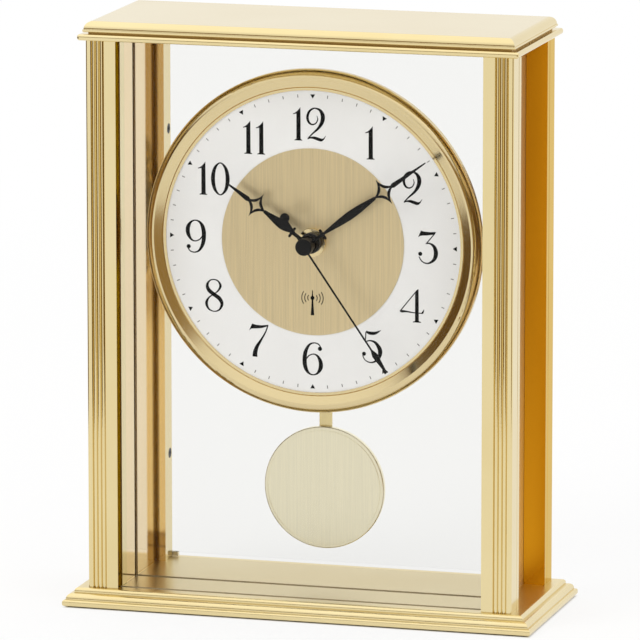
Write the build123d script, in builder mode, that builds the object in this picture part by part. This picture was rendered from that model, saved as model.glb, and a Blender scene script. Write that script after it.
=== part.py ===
from build123d import *
import math
import os

# Desk pendulum clock. X runs to the right, Y to the back, Z up, origin at the middle of the pad's underside.

# Columns and plan of the case, measured over the outer faces of the pillars
case_width = 170.0
case_depth = 63.5
column_height = 215.4

# Corner pillars
pillar_width = 12.0
pillar_depth = 11.4
pillar_corner_round = 0.6
pillar_flat = 4.6
groove_count = 4
groove_pitch = 1.62
groove_width = 0.6
groove_bottom = 0.6
reed_drop = 0.16
side_line_offset = 3.4
side_line_radius = 0.25

# Side panels between the pillars
panel_thickness = 2.8
panel_setback = 0.6
panel_tongue = 1.8
slot_clearance = 0.1

# Base moulding: slab, rounded middle tier and rounded top tier over a thin rubber pad
pad_thickness = 0.5
pad_margin = 2.0
slab_height = 2.5
slab_round = 0.9
ogee_height = 2.4
ogee_step = 1.2
ogee_round = 2.1
plinth_height = 2.0
plinth_step = 3.9
plinth_round = 1.4
base_margin_x = 9.0
base_margin_y = 6.25

# Top plate, shadow gap spacer and rounded lid
top_plate_thickness = 2.4
plate_overhang_x = 2.6
plate_overhang_y = 3.05
plate_corner_round = 0.9
plate_edge_round = 1.0
spacer_thickness = 0.8
spacer_inset = 1.8
lid_setback = 1.8
lid_lip_height = 0.9
lid_lip_round = 0.3
lid_lip_step = 0.35
lid_crown_height = 3.1
lid_crown_round = 3.0

# Screws that hold the pillars
case_screw_radius = 1.5
case_screw_head_radius = 2.8
case_screw_head_height = 1.2
case_screw_reach = 10.0
screw_clearance = 0.05
head_clearance = 0.15

# Front glass and clear dial pane
glass_thickness = 2.0
glass_setback = 3.55
glass_entry = 0.7
pane_thickness = 2.5
pane_setback = 24.25
groove_depth = 1.0
groove_clearance = 0.1

# Rear door
door_thickness = 2.0
door_setback = 0.05
door_side_gap = 0.8
door_axis_inset = 1.0
door_shoe_height = 1.6
door_shoe_length = 4.5
door_end_gap = 0.3
door_pin_radius = 0.8
door_pin_length = 1.2
pin_clearance = 0.05
knob_inset = 6.4
knob_stem_radius = 1.5
knob_stem_length = 2.0
knob_radius = 3.2
knob_length = 2.6

# Door jambs, their screws and the magnetic catch
jamb_thickness = 3.2
jamb_depth = 8.9
jamb_gap = 0.6
jamb_screw_spread = 65.0
jamb_screw_radius = 1.0
jamb_screw_head_radius = 2.0
jamb_screw_head_height = 0.9
jamb_screw_length = 7.0
jamb_screw_setback = 2.6
catch_magnet_radius = 1.2
catch_magnet_length = 3.0
catch_plate_height = 8.0
catch_plate_thickness = 0.4

# Dial and bezel
dial_drop = 78.15
dial_thickness = 3.9
dial_centre_radius = 36.5
dial_centre_thickness = 0.3
bezel_side_gap = 5.8
bezel_wall = 3.8
bezel_shoulder = 2.8
bezel_overlap = 4.3
bezel_seat_depth = 1.8
bezel_height = 5.7
bezel_crest_width = 0.8
bezel_lip_thickness = 0.5
bezel_lip_width = 1.4
bezel_line_width = 0.35
bezel_line_depth = 0.3
bezel_clearance = 0.1

# Threaded bush, fixing nut and the three concentric arbors
bush_radius = 4.0
bush_clearance = 0.2
bush_projection = 3.8
nut_radius = 5.5
nut_height = 2.0
nut_slot_width = 1.2
nut_slot_depth = 0.8
hour_tube_radius = 2.5
minute_tube_radius = 1.6
second_arbor_radius = 0.8
running_clearance = 0.05
hand_fit = 0.02

# Hands, placed at the angles shown, in degrees clockwise from twelve
hour_angle = 304.5
minute_angle = 54.0
second_angle = 145.2
hour_hand_length = 39.3
minute_hand_length = 58.6
second_hand_length = 57.9
hand_thickness = 0.5
second_hand_thickness = 0.4
hand_spacing = 3.1
hour_hand_gap = 1.7
collet_gap = 0.4
collar_width = 4.6
collar_thickness = 1.0
hour_hub_radius = 3.4
hour_collar_distance = 7.9
hour_leaf_start = 8.5
hour_lozenge_start = 20.65
hour_lozenge_length = 9.5
minute_hub_radius = 2.9
minute_collar_distance = 8.2
minute_leaf_start = 8.7
minute_lozenge_start = 33.2
minute_lozenge_length = 10.2
lozenge_half_width = 5.4
lozenge_frame = 2.2
lozenge_waist = 0.68
second_hub_radius = 3.3
second_hub_height = 1.1
second_tail_length = 13.4
second_tail_radius = 1.9

# Movement housing
housing_wall = 1.5
front_wall = 1.2
inner_wall = 1.2
cover_thickness = 1.2
wheel_room = 1.6
core_room = 2.5
pendulum_bay_half_width = 18.0
bay_mouth_room = 0.5

# Going train: every wheel has the same tooth module
gear_module = 0.5
tooth_addendum = 0.4
tooth_dedendum = 0.6
wheel_thickness = 0.9
wheel_gap = 0.4
plate_gap = 0.5
transfer_gap = 0.8
rotor_gap = 0.7
arbor_radius = 0.6
cannon_teeth = 10
motion_teeth = 30
motion_pinion_teeth = 8
hour_teeth = 32
centre_teeth = 48
seconds_teeth = 40
transfer_pinion_teeth = 8
minute_transfer_teeth = 32
seconds_transfer_teeth = 48
rotor_pinion_teeth = 8
motion_stud_radius = 0.8
middle_plate_thickness = 0.8
train_plate_thickness = 0.8
train_plate_inset = 0.9
train_plate_top_gap = 3.0
train_plate_foot_gap = 1.0
coil_window_margin = 0.4
stator_pad_radius = 1.2
stator_pad_inset = 1.6

# Stepping motors
rotor_radius = 2.6
rotor_length = 2.4
rotor_air_gap = 0.5
stator_thickness = 1.0
stator_half_width = 10.0
stator_head = 6.0
stator_leg_width = 3.0
stator_core_height = 2.5
stator_core_drop = 13.0
motor_coil_radius = 2.6
coil_clearance = 0.2

# Circuit board, push buttons and antenna
board_thickness = 0.8
board_standoff = 1.6
board_inset = 4.5
board_top_gap = 6.5
board_bottom = 14.0
board_post_inset = 3.0
button_radius = 2.5
button_flange_radius = 3.2
button_flange_height = 0.7
button_projection = 1.2
button_spread = 12.0
button_drop = 3.0
antenna_radius = 2.6
antenna_length = 56.0
antenna_winding_radius = 3.8
antenna_winding_length = 30.0
antenna_play = 0.1

# Battery, its contacts and its sliding door
battery_radius = 7.1
battery_length = 49.5
battery_nub_radius = 2.7
battery_nub_length = 1.0
battery_play = 0.1
battery_headroom = 0.5
battery_end_room = 4.75
contact_thickness = 0.4
contact_width = 9.0
battery_door_inset = 4.0
battery_door_thickness = 1.3
battery_door_play = 0.15
rail_lip = 1.2
rail_lip_thickness = 0.8
rail_width = 3.0
door_ledge_height = 1.0

# Cover screws and the posts that carry the plates
cover_screw_radius = 1.2
cover_screw_head_radius = 2.2
cover_screw_head_height = 1.4
cover_screw_length = 8.0
cover_boss_radius = 2.7
cover_boss_shoulder = 0.5
cover_boss_inset = 0.8
upper_boss_side = 3.4
lower_boss_side = 5.5
lower_boss_drop = 8.0
post_radius = 2.0
post_side = 2.6
post_foot = 2.6

# Pendulum
pendulum_setback = 11.8
pivot_room = 3.3
pivot_radius = 1.0
lever_half_width = 3.0
lever_thickness = 1.8
lever_top_room = 0.7
lever_below_housing = 4.0
drive_drop = 7.5
drive_magnet_radius = 3.2
drive_magnet_length = 2.4
drive_coil_radius = 6.0
drive_coil_bore = 2.0
drive_coil_length = 4.0
rod_width = 5.0
rod_thickness = 1.0
rod_overlap = 10.0
rod_tail = 14.0
bob_floor_gap = 13.0
bob_radius = 24.2
bob_thickness = 2.2
bob_rim_width = 1.2
bob_line_width = 0.4
bob_line_depth = 0.25

# Places that follow from the sizes above
half_w = case_width / 2
half_d = case_depth / 2
slab_x = half_w + base_margin_x
slab_y = half_d + base_margin_y
slab_top = pad_thickness + slab_height
ogee_top = slab_top + ogee_height
base_top = ogee_top + plinth_height
column_top = base_top + column_height
column_mid = (base_top + column_top) / 2
plate_top = column_top + top_plate_thickness
spacer_top = plate_top + spacer_thickness
plate_x = half_w + plate_overhang_x
plate_y = half_d + plate_overhang_y
lid_x = plate_x - lid_setback
lid_y = plate_y - lid_setback
lid_lip_top = spacer_top + lid_lip_height
lid_top = lid_lip_top + lid_crown_height
inner_x = half_w - pillar_width
pillar_axis_x = half_w - pillar_width / 2
pillar_axis_y = half_d - pillar_depth / 2
pillar_inner_y = half_d - pillar_depth
panel_in = inner_x + panel_setback
panel_out = panel_in + panel_thickness
glass_front = -half_d + glass_setback
glass_back = glass_front + glass_thickness
glass_half = inner_x + glass_entry
pane_front = -half_d + pane_setback
pane_back = pane_front + pane_thickness
pane_half = panel_in - 2 * groove_clearance
door_back = half_d - door_setback
door_front = door_back - door_thickness
door_mid = (door_back + door_front) / 2
door_half = inner_x - door_side_gap
door_axis_x = -door_half + door_axis_inset
jamb_back = door_front - jamb_gap
jamb_front = jamb_back - jamb_depth
jamb_in = inner_x - jamb_thickness
floor_back = door_front - jamb_gap / 2
shoe_bottom = base_top + door_end_gap
shoe_top = column_top - door_end_gap

bezel_radius = inner_x - bezel_side_gap
bezel_crest_radius = bezel_radius - bezel_shoulder
dial_radius = bezel_radius - bezel_wall
bezel_opening_radius = dial_radius - bezel_overlap
axis_z = column_top - dial_drop
dial_front = pane_front - dial_thickness
centre_front = dial_front - dial_centre_thickness
nut_front = centre_front - nut_height
bush_front = centre_front - bush_projection
hour_hand_back = bush_front - hour_hand_gap
hour_hand_front = hour_hand_back - hand_thickness
minute_hand_back = hour_hand_back - hand_spacing
minute_hand_front = minute_hand_back - hand_thickness
second_hand_back = minute_hand_back - hand_spacing
second_hand_front = second_hand_back - second_hand_thickness

wall_back = pane_back + front_wall
hour_y = wall_back + wheel_gap
motion_y = hour_y + wheel_thickness + wheel_gap
centre_y = motion_y + wheel_thickness + wheel_gap
middle_plate_y = centre_y + wheel_thickness + plate_gap
seconds_y = middle_plate_y + middle_plate_thickness + plate_gap
transfer_y = seconds_y + wheel_thickness + transfer_gap
rotor_y = transfer_y + wheel_thickness + rotor_gap
stator_y = rotor_y + (rotor_length - stator_thickness) / 2
train_plate_y = rotor_y + rotor_length + plate_gap
train_plate_back = train_plate_y + train_plate_thickness
board_y = train_plate_back + wheel_gap
board_back = board_y + board_thickness
cover_y = board_back + board_standoff
cover_back = cover_y + cover_thickness

# Wheel centres in the train, from the teeth that mesh
motion_distance = gear_module * (cannon_teeth + motion_teeth) / 2
minute_transfer_distance = gear_module * (centre_teeth + transfer_pinion_teeth) / 2
seconds_transfer_distance = gear_module * (seconds_teeth + transfer_pinion_teeth) / 2
minute_rotor_distance = gear_module * (minute_transfer_teeth + rotor_pinion_teeth) / 2
seconds_rotor_distance = gear_module * (seconds_transfer_teeth + rotor_pinion_teeth) / 2
centre_tip_radius = gear_module * centre_teeth / 2 + tooth_addendum
motion_x, motion_z = 0.0, axis_z - motion_distance
minute_transfer_x, minute_transfer_z = -minute_transfer_distance, axis_z
seconds_transfer_x, seconds_transfer_z = seconds_transfer_distance, axis_z
minute_rotor_x, minute_rotor_z = minute_transfer_x, axis_z - minute_rotor_distance
seconds_rotor_x, seconds_rotor_z = seconds_transfer_x, axis_z - seconds_rotor_distance
motor_places = ((minute_rotor_x, minute_rotor_z), (seconds_rotor_x, seconds_rotor_z))
transfer_places = ((minute_transfer_x, minute_transfer_z), (seconds_transfer_x, seconds_transfer_z))
arbor_places = motor_places + transfer_places
coil_half = stator_half_width - stator_leg_width - coil_clearance
coil_drop = stator_core_drop - stator_core_height / 2

# Rooms of the housing, from the wheels, the battery and the antenna that they hold
train_roof = axis_z + centre_tip_radius + wheel_room
train_floor = seconds_rotor_z - stator_core_drop - core_room
battery_floor = train_roof + inner_wall
battery_y = wall_back + battery_radius + battery_play
battery_z = battery_floor + battery_radius + battery_play
battery_roof = battery_z + battery_radius + battery_headroom
antenna_floor = battery_roof + inner_wall
antenna_y = wall_back + antenna_winding_radius + antenna_play
antenna_z = antenna_floor + antenna_winding_radius + antenna_play
antenna_roof = antenna_z + antenna_winding_radius + battery_headroom
housing_top = antenna_roof + housing_wall
room_x = battery_length / 2 + battery_nub_length + battery_end_room
housing_half_width = room_x + housing_wall
bay_roof = train_floor - inner_wall
board_half_width = room_x - board_inset
board_top = train_roof - board_top_gap
board_foot = axis_z - board_bottom
battery_door_half_width = housing_half_width - battery_door_inset
post_places = [(sx * (room_x - post_side), train_floor + post_foot) for sx in (-1, 1)]
upper_boss_z = train_roof - cover_boss_radius - cover_boss_inset
lower_boss_z = bay_roof - lower_boss_drop
upper_boss_places = [(sx * (room_x - upper_boss_side), upper_boss_z) for sx in (-1, 1)]
boss_places = upper_boss_places + [(sx * (room_x - lower_boss_side), lower_boss_z) for sx in (-1, 1)]
case_screw_places = [(sx * pillar_axis_x, sy * pillar_axis_y) for sx in (-1, 1) for sy in (-1, 1)]

# Pendulum places
pivot_z = bay_roof - pivot_room
drive_z = pivot_z - drive_drop
housing_bottom = drive_z - drive_coil_radius - bay_mouth_room
rod_front = pane_back + pendulum_setback
lever_front = rod_front - lever_thickness
lever_bottom = housing_bottom - lever_below_housing
bob_z = base_top + bob_floor_gap + bob_radius


def block(xa, xb, ya, yb, za, zb, mode=Mode.ADD):
    with Locations(((xa + xb) / 2, (ya + yb) / 2, (za + zb) / 2)):
        Box(abs(xb - xa), abs(yb - ya), abs(zb - za), mode=mode)


def bar_y(radius, ya, yb, x, z, mode=Mode.ADD):
    with Locations((x, (ya + yb) / 2, z)):
        Cylinder(radius, abs(yb - ya), rotation=(90, 0, 0), mode=mode)


def bar_z(radius, za, zb, x, y, mode=Mode.ADD):
    with Locations((x, y, (za + zb) / 2)):
        Cylinder(radius, abs(zb - za), mode=mode)


def bar_x(radius, xa, xb, y, z, mode=Mode.ADD):
    with Locations(((xa + xb) / 2, y, z)):
        Cylinder(radius, abs(xb - xa), rotation=(0, 90, 0), mode=mode)


def facing_plane(x, y, z):
    return Plane(origin=(x, y, z), x_dir=(1, 0, 0), z_dir=(0, -1, 0))


def hand_plane(angle, y):
    a = math.radians(angle)
    return Plane(origin=(0, y, axis_z), x_dir=(math.cos(a), 0, -math.sin(a)), z_dir=(0, -1, 0))


def tooth_ring(teeth, phase, x, z, y_front):
    pitch_radius = gear_module * teeth / 2
    step = 360 / teeth
    points = []
    for n in range(teeth):
        middle = phase + n * step
        for share, radius in ((-0.26, pitch_radius - tooth_dedendum), (-0.11, pitch_radius + tooth_addendum),
                              (0.11, pitch_radius + tooth_addendum), (0.26, pitch_radius - tooth_dedendum)):
            a = math.radians(middle + share * step)
            points.append((radius * math.cos(a), radius * math.sin(a)))
    with BuildSketch(facing_plane(x, y_front + wheel_thickness, z)) as ring:
        with BuildLine():
            Polyline(*points, close=True)
        make_face()
    extrude(ring.sketch, amount=wheel_thickness)


def gap_phase(teeth, direction):
    return direction + 180 / teeth


def lozenge(near, length):
    middle = near + length / 2
    for inset, mode in ((0, Mode.ADD), (lozenge_frame, Mode.SUBTRACT)):
        across = lozenge_half_width - inset
        along = length / 2 - inset
        ring = [(0, middle - along), (across, middle), (0, middle + along), (-across, middle)]
        with BuildLine() as edge:
            for n in range(4):
                p, q = ring[n], ring[(n + 1) % 4]
                bend_x = (p[0] + q[0]) / 2 * lozenge_waist
                bend_y = middle + ((p[1] + q[1]) / 2 - middle) * lozenge_waist
                ThreePointArc(p, (bend_x, bend_y), q)
        make_face(edge.edges(), mode=mode)


def mirrored_leaf(half_outline):
    points = half_outline + [(-x, y) for x, y in reversed(half_outline)]
    with BuildLine() as edge:
        Polyline(*points, close=True)
    make_face(edge.edges())


def make_pillar(side, end):
    x_in = side * inner_x
    x_out = side * half_w
    y_out = end * half_d
    y_inner = end * pillar_inner_y
    with BuildPart() as pillar:
        with BuildSketch(Plane.XY.offset(base_top)):
            with BuildLine():
                here = (x_in, y_out)
                for n in range(groove_count):
                    middle = inner_x + pillar_flat + groove_width / 2 + n * groove_pitch
                    near_drop = reed_drop if n > 0 else 0
                    far_drop = reed_drop if n < groove_count - 1 else 0
                    near = (side * (middle - groove_width / 2), end * (half_d - near_drop))
                    deep = (side * middle, end * (half_d - groove_bottom))
                    far = (side * (middle + groove_width / 2), end * (half_d - far_drop))
                    if n == 0:
                        Line(here, near)
                    else:
                        ThreePointArc(here, (side * (middle - groove_pitch / 2), y_out), near)
                    Line(near, deep)
                    Line(deep, far)
                    here = far
                Polyline(here, (x_out, y_out), (x_out, y_inner), (x_in, y_inner), (x_in, y_out))
            make_face()
        extrude(amount=column_height)
        corner = pillar.edges().filter_by(Axis.Z).sort_by_distance((x_out, y_out, column_mid))[0]
        fillet(corner, radius=pillar_corner_round)
        y_line = y_inner + end * side_line_offset
        bar_z(side_line_radius, base_top, column_top, x_out, y_line, Mode.SUBTRACT)
        y_slot = y_inner + end * (panel_tongue + slot_clearance)
        block(side * (panel_in - slot_clearance), side * (panel_out + slot_clearance), y_inner, y_slot,
              base_top, column_top, Mode.SUBTRACT)
        hole = case_screw_radius + screw_clearance
        depth = case_screw_reach + 2 * screw_clearance
        bar_z(hole, base_top, base_top + depth, side * pillar_axis_x, end * pillar_axis_y, Mode.SUBTRACT)
        bar_z(hole, column_top - depth, column_top, side * pillar_axis_x, end * pillar_axis_y, Mode.SUBTRACT)
        if end < 0:
            block(x_in, side * (glass_half + groove_clearance), glass_front - groove_clearance,
                  glass_back + groove_clearance, base_top, column_top, Mode.SUBTRACT)
        else:
            for dz in (-jamb_screw_spread, jamb_screw_spread):
                bar_x(jamb_screw_radius + screw_clearance, x_in,
                      x_in + side * (jamb_screw_length - jamb_thickness + screw_clearance),
                      jamb_back - jamb_screw_setback, column_mid + dz, Mode.SUBTRACT)
    return pillar


def make_side_panel(side):
    reach = pillar_inner_y + panel_tongue
    with BuildPart() as panel:
        block(side * panel_in, side * panel_out, -reach, reach, base_top, column_top)
    return panel


def make_jamb(side):
    with BuildPart() as jamb:
        block(side * jamb_in, side * inner_x, jamb_front, jamb_back, base_top, column_top)
        y_screw = jamb_back - jamb_screw_setback
        for dz in (-jamb_screw_spread, jamb_screw_spread):
            z_screw = column_mid + dz
            bar_x(jamb_screw_radius + screw_clearance, side * jamb_in, side * inner_x, y_screw, z_screw,
                  Mode.SUBTRACT)
            bar_x(jamb_screw_head_radius + screw_clearance, side * jamb_in,
                  side * (jamb_in + jamb_screw_head_height + screw_clearance), y_screw, z_screw,
                  Mode.SUBTRACT)
        if side > 0:
            bar_y(catch_magnet_radius + screw_clearance, jamb_back - catch_magnet_length - screw_clearance,
                  jamb_back, (jamb_in + inner_x) / 2, column_mid, Mode.SUBTRACT)
    return jamb


def make_button(x):
    z = axis_z - button_drop
    front = cover_y - button_flange_height - wheel_gap / 4
    with BuildPart() as button:
        bar_y(button_flange_radius, front, front + button_flange_height, x, z)
        bar_y(button_radius, front, cover_back + button_projection, x, z)
        rim = button.edges().filter_by(GeomType.CIRCLE).sort_by(Axis.Y)[-1]
        fillet(rim, radius=0.3)
    return button


# Base moulding with the pockets for the floor plates, the front glass, the dial pane and the door pin
with BuildPart() as base_moulding:
    block(-slab_x, slab_x, -slab_y, slab_y, pad_thickness, slab_top)
    fillet(base_moulding.edges().filter_by(Axis.Z, reverse=True), radius=slab_round)
    block(ogee_step - slab_x, slab_x - ogee_step, ogee_step - slab_y, slab_y - ogee_step, slab_top, ogee_top)
    fillet(base_moulding.edges().group_by(Axis.Z)[-1], radius=ogee_round)
    block(plinth_step - slab_x, slab_x - plinth_step, plinth_step - slab_y, slab_y - plinth_step, ogee_top,
          base_top)
    fillet(base_moulding.edges().group_by(Axis.Z)[-1], radius=plinth_round)
    pocket_floor = base_top - groove_depth
    block(-inner_x, inner_x, glass_front - groove_clearance, floor_back + groove_clearance, pocket_floor,
          base_top, Mode.SUBTRACT)
    block(-glass_half - groove_clearance, glass_half + groove_clearance, glass_front - groove_clearance,
          glass_back + groove_clearance, pocket_floor, base_top, Mode.SUBTRACT)
    block(-pane_half - groove_clearance, pane_half + groove_clearance, pane_front - groove_clearance,
          pane_back + groove_clearance, pocket_floor, base_top, Mode.SUBTRACT)
    for x, y in case_screw_places:
        bar_z(case_screw_radius + head_clearance, pad_thickness, base_top, x, y, Mode.SUBTRACT)
        bar_z(case_screw_head_radius + head_clearance, pad_thickness,
              pad_thickness + case_screw_head_height + head_clearance, x, y, Mode.SUBTRACT)
    bar_z(door_pin_radius + pin_clearance, base_top - door_pin_length, base_top, door_axis_x, door_mid,
          Mode.SUBTRACT)

# Thin non-slip rubber pad under the base
with BuildPart() as base_pad:
    block(pad_margin - slab_x, slab_x - pad_margin, pad_margin - slab_y, slab_y - pad_margin, 0,
          pad_thickness)

# Bright inlaid floor, one plate before and one behind the dial pane
with BuildPart() as floor_plates:
    floor_x = inner_x - groove_clearance
    block(-floor_x, floor_x, glass_back + groove_clearance, pane_front - groove_clearance,
          base_top - groove_depth, base_top)
    block(-floor_x, floor_x, pane_back + groove_clearance, floor_back, base_top - groove_depth, base_top)

# Screws from below into the pillars
with BuildPart() as base_screws:
    seat = pad_thickness + case_screw_head_height + head_clearance
    for x, y in case_screw_places:
        bar_z(case_screw_head_radius, seat - case_screw_head_height, seat, x, y)
        bar_z(case_screw_radius, seat, base_top + case_screw_reach, x, y)

# Fluted corner pillars
pillar_front_left = make_pillar(-1, -1)
pillar_front_right = make_pillar(1, -1)
pillar_rear_left = make_pillar(-1, 1)
pillar_rear_right = make_pillar(1, 1)

# Polished side panels in the pillar slots
side_panel_left = make_side_panel(-1)
side_panel_right = make_side_panel(1)

# Top plate with the upper grooves of the panes
with BuildPart() as top_plate:
    block(-plate_x, plate_x, -plate_y, plate_y, column_top, plate_top)
    fillet(top_plate.edges().filter_by(Axis.Z), radius=plate_corner_round)
    rims = top_plate.edges().group_by(Axis.Z)
    fillet(rims[0] + rims[-1], radius=plate_edge_round)
    groove_roof = column_top + groove_depth
    block(-glass_half - groove_clearance, glass_half + groove_clearance, glass_front - groove_clearance,
          glass_back + groove_clearance, column_top, groove_roof, Mode.SUBTRACT)
    block(-pane_half - groove_clearance, pane_half + groove_clearance, pane_front - groove_clearance,
          pane_back + groove_clearance, column_top, groove_roof, Mode.SUBTRACT)
    for x, y in case_screw_places:
        bar_z(case_screw_radius + head_clearance, column_top, plate_top, x, y, Mode.SUBTRACT)
        bar_z(case_screw_head_radius + head_clearance, plate_top - case_screw_head_height - head_clearance,
              plate_top, x, y, Mode.SUBTRACT)
    bar_z(door_pin_radius + pin_clearance, column_top, column_top + door_pin_length, door_axis_x, door_mid,
          Mode.SUBTRACT)

# Screws from above into the pillars
with BuildPart() as top_screws:
    seat = plate_top - case_screw_head_height - head_clearance
    for x, y in case_screw_places:
        bar_z(case_screw_head_radius, seat, seat + case_screw_head_height, x, y)
        bar_z(case_screw_radius, column_top - case_screw_reach, seat, x, y)

# Dark spacer that leaves the shadow gap
with BuildPart() as lid_spacer:
    block(spacer_inset - lid_x, lid_x - spacer_inset, spacer_inset - lid_y, lid_y - spacer_inset, plate_top,
          spacer_top)

# Lid with a thin lip under a rounded crown
with BuildPart() as top_lid:
    block(-lid_x, lid_x, -lid_y, lid_y, spacer_top, lid_lip_top)
    fillet(top_lid.edges().group_by(Axis.Z)[0], radius=lid_lip_round)
    block(lid_lip_step - lid_x, lid_x - lid_lip_step, lid_lip_step - lid_y, lid_y - lid_lip_step, lid_lip_top,
          lid_top)
    fillet(top_lid.edges().group_by(Axis.Z)[-1], radius=lid_crown_round)

# Front glass in its grooves
with BuildPart() as front_glass:
    block(-glass_half, glass_half, glass_front, glass_back, base_top - groove_depth,
          column_top + groove_depth - groove_clearance)

# Clear pane that carries the dial and the movement
with BuildPart() as dial_pane:
    block(-pane_half, pane_half, pane_front, pane_back, base_top - groove_depth,
          column_top + groove_depth - groove_clearance)
    bar_y(bush_radius + bush_clearance, pane_front, pane_back, 0, axis_z, Mode.SUBTRACT)

# Door jambs and their dark screws
door_jamb_left = make_jamb(-1)
door_jamb_right = make_jamb(1)
with BuildPart() as jamb_screws:
    for side in (-1, 1):
        for dz in (-jamb_screw_spread, jamb_screw_spread):
            y_screw = jamb_back - jamb_screw_setback
            bar_x(jamb_screw_head_radius, side * jamb_in, side * (jamb_in + jamb_screw_head_height), y_screw,
                  column_mid + dz)
            bar_x(jamb_screw_radius, side * jamb_in, side * (jamb_in + jamb_screw_length), y_screw,
                  column_mid + dz)

# Magnet in the right jamb
with BuildPart() as catch_magnet:
    bar_y(catch_magnet_radius, jamb_back - catch_magnet_length, jamb_back, (jamb_in + inner_x) / 2,
          column_mid)

# Rear glass door
with BuildPart() as rear_door_glass:
    block(-door_half, door_half, door_front, door_back, shoe_bottom + door_shoe_height,
          shoe_top - door_shoe_height)

# Pivot shoes on the lower and upper corner of the door
with BuildPart() as door_pivots:
    shoe_end = -door_half + door_shoe_length
    block(-door_half, shoe_end, door_front, door_back, shoe_bottom, shoe_bottom + door_shoe_height)
    bar_z(door_pin_radius, base_top - door_pin_length + pin_clearance, shoe_bottom, door_axis_x, door_mid)
    block(-door_half, shoe_end, door_front, door_back, shoe_top - door_shoe_height, shoe_top)
    bar_z(door_pin_radius, shoe_top, column_top + door_pin_length - pin_clearance, door_axis_x, door_mid)

# Door knob on the back of the glass
with BuildPart() as door_knob:
    knob_x = door_half - knob_inset
    knob_neck = door_back + knob_stem_length
    bar_y(knob_stem_radius, door_back, knob_neck, knob_x, column_mid)
    bar_y(knob_radius, knob_neck, knob_neck + knob_length, knob_x, column_mid)
    fillet(door_knob.edges().filter_by(GeomType.CIRCLE).sort_by(Axis.Y)[-1], radius=0.8)

# Steel plate on the door that meets the magnet
with BuildPart() as catch_plate:
    block(jamb_in + jamb_thickness / 2 - catch_magnet_radius, door_half, door_front - catch_plate_thickness,
          door_front, column_mid - catch_plate_height / 2, column_mid + catch_plate_height / 2)

# Bezel ring: rounded outer flank, narrow crest, a shallow polished cone, a fine turned line and a flat lip
with BuildPart() as bezel:
    crest_y = pane_front - bezel_height
    seat_y = pane_front - bezel_seat_depth
    bend_y = seat_y - 0.72 * (bezel_height - bezel_seat_depth)
    bend_r = bezel_radius - 0.29 * (bezel_radius - bezel_crest_radius)
    seat_r = dial_radius + bezel_clearance
    lip_y = dial_front - bezel_lip_thickness
    line_r = bezel_opening_radius + bezel_lip_width
    with BuildSketch(Plane(origin=(0, 0, axis_z), x_dir=(0, 1, 0), z_dir=(1, 0, 0))):
        with BuildLine():
            Line((pane_front, seat_r), (pane_front, bezel_radius))
            Line((pane_front, bezel_radius), (seat_y, bezel_radius))
            ThreePointArc((seat_y, bezel_radius), (bend_y, bend_r), (crest_y, bezel_crest_radius))
            Line((crest_y, bezel_crest_radius), (crest_y, bezel_crest_radius - bezel_crest_width))
            Line((crest_y, bezel_crest_radius - bezel_crest_width), (lip_y, line_r))
            Polyline((lip_y, line_r), (lip_y + bezel_line_depth, line_r - bezel_line_width / 2),
                     (lip_y, line_r - bezel_line_width), (lip_y, bezel_opening_radius),
                     (dial_front, bezel_opening_radius))
            Line((dial_front, bezel_opening_radius), (dial_front, seat_r))
            Line((dial_front, seat_r), (pane_front, seat_r))
        make_face()
    revolve(axis=Axis((0, 0, axis_z), (0, 1, 0)), revolution_arc=360)

# Pale dial and its brushed gold centre
with BuildPart() as dial_plate:
    bar_y(dial_radius, dial_front, pane_front, 0, axis_z)
    bar_y(bush_radius + bush_clearance, dial_front, pane_front, 0, axis_z, Mode.SUBTRACT)
with BuildPart() as dial_centre:
    bar_y(dial_centre_radius, centre_front, dial_front, 0, axis_z)
    bar_y(bush_radius + bush_clearance, centre_front, dial_front, 0, axis_z, Mode.SUBTRACT)

# Round fixing nut with two key slots
with BuildPart() as hand_nut:
    bar_y(nut_radius, nut_front, centre_front, 0, axis_z)
    bar_y(bush_radius + running_clearance, nut_front, centre_front, 0, axis_z, Mode.SUBTRACT)
    block(-nut_radius, nut_radius, nut_front, nut_front + nut_slot_depth, axis_z - nut_slot_width / 2,
          axis_z + nut_slot_width / 2, Mode.SUBTRACT)

# Hour hand: hub with its collet, collar bar, leaf, open lozenge and tapered tip
with BuildPart() as hour_hand:
    with BuildSketch(hand_plane(hour_angle, hour_hand_back)):
        leaf = hour_leaf_start
        lozenge_end = hour_lozenge_start + hour_lozenge_length
        Circle(hour_hub_radius)
        mirrored_leaf([(0.7, hour_hub_radius - 0.4), (0.65, leaf + 0.4)])
        with Locations((0, hour_collar_distance)):
            SlotOverall(collar_width, collar_thickness)
        mirrored_leaf([(0.5, leaf), (1.05, leaf + 1.2), (1.6, leaf + 2.8), (1.8, leaf + 4.4),
                       (1.65, leaf + 6.4), (1.2, leaf + 9.0), (0.8, leaf + 11.2),
                       (0.6, hour_lozenge_start + 0.8)])
        lozenge(hour_lozenge_start, hour_lozenge_length)
        mirrored_leaf([(0.55, lozenge_end - 1.4), (0.95, lozenge_end - 0.6), (0.8, lozenge_end + 1.4),
                       (0.22, hour_hand_length)])
    extrude(amount=hand_thickness)
    collet_back = bush_front - collet_gap
    bar_y(hour_hub_radius, hour_hand_back, collet_back, 0, axis_z)
    bar_y(hour_tube_radius + hand_fit, hour_hand_front, collet_back, 0, axis_z, Mode.SUBTRACT)

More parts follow.
